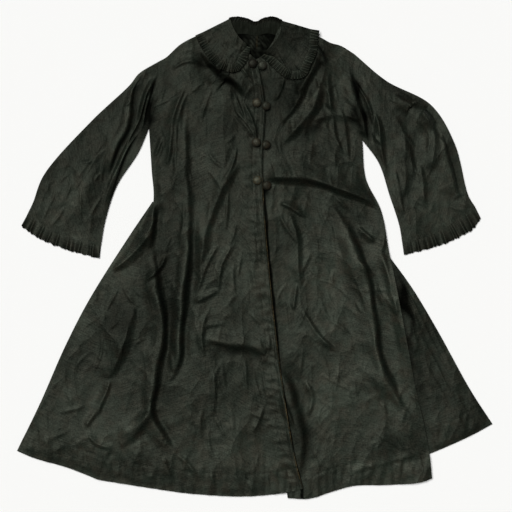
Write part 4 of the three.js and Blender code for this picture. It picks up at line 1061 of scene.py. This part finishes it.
frill_silk = silk_material("frill_black_silk", dark=(0.003, 0.0039, 0.0028),
                           light=(0.0096, 0.0136, 0.0092), crumple=0.4, sheen=0.02, gloss=1.0)
cuff_silk = silk_material("cuff_frill_silk", dark=(0.003, 0.0038, 0.0026),
                          light=(0.0094, 0.0125, 0.0082), crumple=0.7, sheen=0.02)
neck_silk = silk_material("neck_frill_silk", dark=(0.002, 0.0022, 0.0018),
                          light=(0.0062, 0.008, 0.0056), crumple=0.6, sheen=0.0, gloss=0.4)


def taut(height, passes=80):
    """A cloth that bridges the hollows of what it lies on."""
    rest = height.copy()
    for _ in range(passes):
        wide = np.pad(rest, 1, mode="edge")
        rest = np.maximum(height, (wide[:-2, 1:-1] + wide[2:, 1:-1] + wide[1:-1, :-2] + wide[1:-1, 2:]) / 4)
    return rest


def frill(name, node_name, seam, edge, waves, base, rests_on, share=1.0, pace=PLEAT_PITCH,
          stray=PLEAT_STRAY, seed=0, silk=frill_silk):
    """A gathered strip between its seam and its free edge, on a base of given height in mm, one number
    or one for each point. Its pleats differ in width and height."""
    k = np.linspace(0, waves, len(seam))
    v = np.linspace(0, 1, FRILL_ROWS)[:, None]
    lean = PLEAT_LEAN * v * noise(k[None], v * 0.5, PLEAT_LEAN_WAVE, seed + 1)
    phase = pace * k[None] + stray * noise(k, 0 * k, PLEAT_STRAY_WAVE, seed)[None] + lean
    turned = phase % 1
    crest = np.where(turned < PLEAT_STEEP, ease(turned / PLEAT_STEEP),
                     1 - ease((turned - PLEAT_STEEP) / (1 - PLEAT_STEEP)))
    size = PLEAT_SIZE[0] + PLEAT_SIZE[1] * noise(phase, 0 * v, PLEAT_SIZE_WAVE, seed + 3)
    swell = PLEAT_SWELL * noise(k[None], v, PLEAT_SWELL_WAVE, seed + 2) * v
    wave = FRILL_INNER_WAVE + (FRILL_OUTER_WAVE - FRILL_INNER_WAVE) * v**PLEAT_OPENING
    high = np.maximum(2 * share * wave * (size * crest + swell), 0)
    reach = 1 + EDGE_JAG * (noise(k[None], 0 * v, EDGE_JAG_WAVE, seed + 4) - crest) * v
    places = seam[None] + (edge - seam)[None] * (v * reach)[..., None]
    # Painted shade between the pleats and painted highlight along their crests
    piece = cloth(name, places, base + high, silk, FRILL_CLOTH,
                  dull=PLEAT_SHADE * (PLEAT_MIDDLE - size * crest) * v**0.5)
    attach(piece, "root")
    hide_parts(node_name)
    return piece


for side, seam_line, edge_line, seed in (("right", RIGHT_CUFF_SEAM, RIGHT_CUFF_EDGE, 101),
                                         ("left", LEFT_CUFF_SEAM, LEFT_CUFF_EDGE, 111)):
    seam = along(seam_line, CUFF_WAVES * PARTS)
    edge = along(edge_line, CUFF_WAVES * PARTS)
    frill(f"cuff_frill_{side}_upper", f"{side}_cuff_frill_top", offset(seam, -SEAM), edge, CUFF_WAVES,
          LAYER + SHELL_UP, [f"sleeve_{side}_upper"], share=0.75, pace=0.85, stray=0.9, seed=seed,
          silk=cuff_silk)
    frill(f"cuff_frill_{side}_lower", f"{side}_cuff_frill_under", offset(seam, SEAM + HIDDEN_INSET),
          offset(edge, -HIDDEN_INSET), CUFF_WAVES, 0, [f"sleeve_{side}_lower"],
          share=UNDER_SHARE, seed=seed + 5)


# The collar. Two wings that turn down over the fronts, each edged with a dense gathered frill, a back
# part folded under the neck, and the band inside the neck with a small frill along its top.
COLLAR_WAVES = {"right": 26, "left": 28}
# Painted shade over each collar wing, more on the left one
COLLAR_PAINTED_SHADE = {"right": 0.32, "left": 0.44}
COLLAR_CLEAR = {"right": 1.1, "left": 1.6}
COLLAR_FRILL_DEPTH = 20
FRILL_END_SHARE = 0.45
FRILL_END_WAVES = 3
COLLAR_ROLL = 5
COLLAR_ROWS = 20
FRILL_OVER = 0.15
COLLAR_SMOOTHING = 14
COLLAR_OVER_SMOOTH = 0.4
DRAWN_RISE = 0.8              # where the frill's stitches draw the collar in
DRAWN_PITCH = 1.25
COLLAR_WRINKLE = 2.6
COLLAR_RIDGES = ((1.6, 30), (0.8, 13))  # share and wave
RIGHT_COLLAR_NECK = [(-54, 522), (-44, 497), (-30, 477), (-17.5, 466)]
RIGHT_COLLAR_EDGE = [(-130, 486), (-121, 466), (-93, 424), (-69, 408), (-48, 403), (-32, 408), (-16, 430),
                     (-8, 459)]
LEFT_COLLAR_NECK = [(59, 517), (56, 491), (41, 467), (20, 446)]
LEFT_COLLAR_EDGE = [(143, 497), (141, 482), (137, 447), (125, 420), (112, 394), (90, 388), (66, 393),
                    (47, 408), (15, 440)]
for side, neck_line, edge_line, inward, lift, seed in (
        ("right", RIGHT_COLLAR_NECK, RIGHT_COLLAR_EDGE, -1, lap_lift, 121),
        ("left", LEFT_COLLAR_NECK, LEFT_COLLAR_EDGE, 1, lambda x, y: 0 * x, 131)):
    stations = COLLAR_WAVES[side] * PARTS
    edge = along(edge_line, stations)
    left_over = COLLAR_WAVES[side] * (1 - np.linspace(0, 1, stations + 1))
    narrowing = FRILL_END_SHARE + (1 - FRILL_END_SHARE) * ease(left_over / FRILL_END_WAVES)
    depth = COLLAR_FRILL_DEPTH * narrowing
    seam = offset(edge, inward * depth)
    wing_seam = offset(edge, inward * (depth - SEAM))
    neck = along(neck_line, stations)
    v = np.linspace(0, 1, COLLAR_ROWS)[:, None]
    places = neck[None] * (1 - v[..., None]) + wing_seam[None] * v[..., None]
    w = np.linspace(0, 1, FRILL_ROWS)[:, None, None]
    both = np.vstack([places, seam[None] + (edge - seam)[None] * w])
    rest = taut(upper(both[..., 0], both[..., 1]) + lift(both[..., 0], both[..., 1]))
    smooth = rest
    for _ in range(COLLAR_SMOOTHING):
        wide = np.pad(smooth, ((0, 0), (2, 2)), mode="edge")
        smooth = (wide[:, :-4] + wide[:, 1:-3] + wide[:, 2:-2] + wide[:, 3:-1] + wide[:, 4:]) / 5
    rest = np.maximum(rest, smooth + COLLAR_OVER_SMOOTH)
    rest += CLOTH + COLLAR_CLEAR[side] + SHELL_UP
    k = np.linspace(0, COLLAR_WAVES[side], stations + 1)[None]
    drawn = DRAWN_RISE * v**6 * noise(k * DRAWN_PITCH, 0.4 * v, 1.0, seed + 7)
    wrinkles = sum(share * ridges(*places.T, wave, seed + 8 + n).T
                   for n, (share, wave) in enumerate(COLLAR_RIDGES))
    under = rest[:COLLAR_ROWS] + COLLAR_ROLL * (1 - v) ** 2 + drawn + COLLAR_WRINKLE * v * (1 - v) * wrinkles
    turned = (places, under) if side == "right" else (places[:, ::-1], under[:, ::-1])
    # The wing gets an even painted shade
    wing = cloth(f"collar_wing_{side}", *turned, silk, dull=np.full(under.shape, COLLAR_PAINTED_SHADE[side]))
    lay(wing, f"collar_{side}")
    base = rest[COLLAR_ROWS:] + FRILL_OVER * (1 - w[..., 0])
    lines = (seam, edge, base) if side == "right" else (seam[::-1], edge[::-1], base[:, ::-1])
    frill(f"collar_frill_{side}", f"collar_{side}_frill", *lines[:2], COLLAR_WAVES[side], lines[2],
          [f"front_{side}"], seed=seed)

STAND_RISE = 5
STAND_TOP = [(-62, 512), (-34, 518), (-14, 514), (2, 508), (20, 515), (38, 518), (68, 508)]
STAND_SEAM = [(-50, 488), (-22, 490), (3, 486), (28, 491), (58, 484)]
NECK_FRILL_EDGE = [(-55, 526), (-36, 528), (-16, 524), (2, 517), (20, 525), (40, 528), (60, 521)]
NECK_WAVES = 18
STAND_BASE = 2 * LAYER + SEAM
STAND_ROWS = 10
STAND_GATHER = 1.3
STAND_GATHER_WAVES = ((9, 9), (3, 6))  # stretch down the band, and wave
NECK_FRILL_IN = 1.0
top, seam = along(STAND_TOP, NECK_WAVES * PARTS), along(STAND_SEAM, NECK_WAVES * PARTS)
places = patch(top, seam, along([top[0], seam[0]], STAND_ROWS), along([top[-1], seam[-1]], STAND_ROWS))
x, v = places[..., 0], np.linspace(0, 1, STAND_ROWS + 1)[:, None]
(sharp_stretch, sharp_wave), (soft_stretch, soft_wave) = STAND_GATHER_WAVES
gathers = ridges(x, v * sharp_stretch, sharp_wave, 141) + noise(x, v * soft_stretch, soft_wave, 142)
gathers = STAND_GATHER * np.sin(np.pi * v) * gathers
band = cloth("collar_band", places, STAND_BASE + STAND_RISE * (1 - v) + gathers + SHELL_UP, silk,
             lining=np.ones(x.shape))
lay(band, "collar_stand")
neck_edge = along(NECK_FRILL_EDGE, NECK_WAVES * PARTS)
frill("neck_frill_inner", "neck_frill", offset(top, NECK_FRILL_IN)[::-1], neck_edge[::-1], NECK_WAVES,
      STAND_BASE + STAND_RISE + SHELL_UP, ["collar_band"], seed=145, silk=neck_silk)

FALL_TOP = [(-124, 482), (-54, 509), (0, 500), (56, 504), (136, 480)]
FALL_EDGE = [(-112, 446), (-40, 428), (40, 428), (128, 446)]
FALL_COLUMNS = 40
FALL_ROWS = 8
top, low = along(FALL_TOP, FALL_COLUMNS), along(FALL_EDGE, FALL_COLUMNS)
places = patch(top, low, along([top[0], low[0]], FALL_ROWS), along([top[-1], low[-1]], FALL_ROWS))
fall = cloth("collar_back_fold", places, np.zeros(places.shape[:2]), silk, CLOTH - SEAM)
lay(fall, "collar_fall")


# The buttons. Four pairs of domes covered with the same silk, sewn to the fronts through the back of
# the cover. The outer one of a pair leans over the edge of the lapping front.
BUTTON_RADIUS = 10
BUTTON_HEIGHT = 8.5
BUTTON_BASE = 8
BUTTON_CLEAR = 0.4
BUTTON_TILT = np.radians(13)
BUTTON_SIDES = 72
BUTTON_RINGS = 30
COVER_GATHER = 0.10            # gathers of the cover round the button's side
COVER_ROUND = 9
COVER_WAVE = 1.7
COVER_AT = 0.25
COVER_HALF = 0.3
COVER_OUT = 0.3
BUTTON_WEAR = {"front": (0, 0.12, 0.06, 0.16), "edge": (0.02, 0.03, 0.05, 0.04)}
# Painted shade on some buttons and, below 0, painted highlight on others, one number for each pair
BUTTON_PAINTED_SHADING = {"front": (0.45, 0, 0.05, -0.2), "edge": (-0.15, 0.3, 0.3, 0.4)}
BUTTON_PAIRS = [((-4, 424), (17, 420)), ((5, 338), (25, 331)), ((4, 251), (25, 246)), ((6, 168), (27, 157))]
BUTTON_PROFILE = [(0.0, 0.0), (0.8, 0.0), (0.93, 0.09), (1.0, 0.22), (0.995, 0.36), (0.97, 0.47),
                  (0.9, 0.62), (0.8, 0.75), (0.65, 0.87), (0.45, 0.95), (0.22, 0.99), (0.0, 1.0)]

button_silk = silk_material("button_black_silk", dark=(0.0062, 0.0067, 0.0054),
                            light=(0.0188, 0.0226, 0.0168), crumple=0.3, sheen=0.04, gloss=1.4)

turn = np.linspace(0, 2 * np.pi, BUTTON_SIDES, endpoint=False)
across_base = np.arange(-BUTTON_BASE, BUTTON_BASE + 1)
disc_x, disc_y = np.meshgrid(across_base, across_base)
on_base = np.hypot(disc_x, disc_y) <= BUTTON_BASE
for row, pair in enumerate(BUTTON_PAIRS):
    for kind, (at_x, at_y), tilt in (("front", pair[0], 0.0), ("edge", pair[1], BUTTON_TILT)):
        seed = 151 + 2 * row + (kind == "edge")
        x, y = (at_x + disc_x[on_base]).astype(float), (at_y + disc_y[on_base]).astype(float)
        on_right_front = x < edge_at(RIGHT_FRONT_EDGE, y) + 1
        seat = upper(x, y) + SHELL_UP + SHELL + np.where(on_right_front, lap_lift(x, y), 0)
        seat = (seat + disc_x[on_base] * np.tan(tilt)).max() + BUTTON_CLEAR
        rings = []
        folds = noise(COVER_ROUND * np.cos(turn), COVER_ROUND * np.sin(turn), COVER_WAVE, seed)
        for share, high in along(BUTTON_PROFILE, BUTTON_RINGS):
            gather = COVER_GATHER * folds * np.exp(-(((high - COVER_AT) / COVER_HALF) ** 2))
            radius = BUTTON_RADIUS * max(share, 0.001) * (1 + COVER_OUT * gather)
            level = BUTTON_HEIGHT * high + gather
            across, up = radius * np.cos(turn), level + 0 * turn
            rings.append(np.column_stack([
                at_x + across * np.cos(tilt) + up * np.sin(tilt), at_y + radius * np.sin(turn),
                seat - across * np.sin(tilt) + up * np.cos(tilt)]))
        count = len(rings)
        at = np.arange(count * BUTTON_SIDES).reshape(count, BUTTON_SIDES)
        near, next_one = at, np.roll(at, -1, axis=1)
        quads = np.stack([near[:-1], next_one[:-1], next_one[1:], near[1:]], -1).reshape(-1, 4)
        mesh = bpy.data.meshes.new(f"button_{kind}_cover_{row + 1}")
        faces = [list(quad) for quad in quads] + [list(at[0, ::-1]), list(at[-1])]
        mesh.from_pydata(np.vstack(rings) * MM, [], faces)
        mesh.polygons.foreach_set("use_smooth", np.ones(len(mesh.polygons), bool))
        # The second mask is painted shade, or painted highlight below 0
        for label, look in (("worn", BUTTON_WEAR), ("dull", BUTTON_PAINTED_SHADING)):
            marks = mesh.attributes.new(label, "FLOAT", "POINT")
            marks.data.foreach_set("value", np.full(len(mesh.vertices), float(look[kind][row])))
        mesh.materials.append(button_silk)
        dome = bpy.data.objects.new(mesh.name, mesh)
        bpy.context.scene.collection.objects.link(dome)
        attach(dome, "root")
        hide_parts(f"button_{kind}_{row + 1}")


bpy.context.view_layer.update()
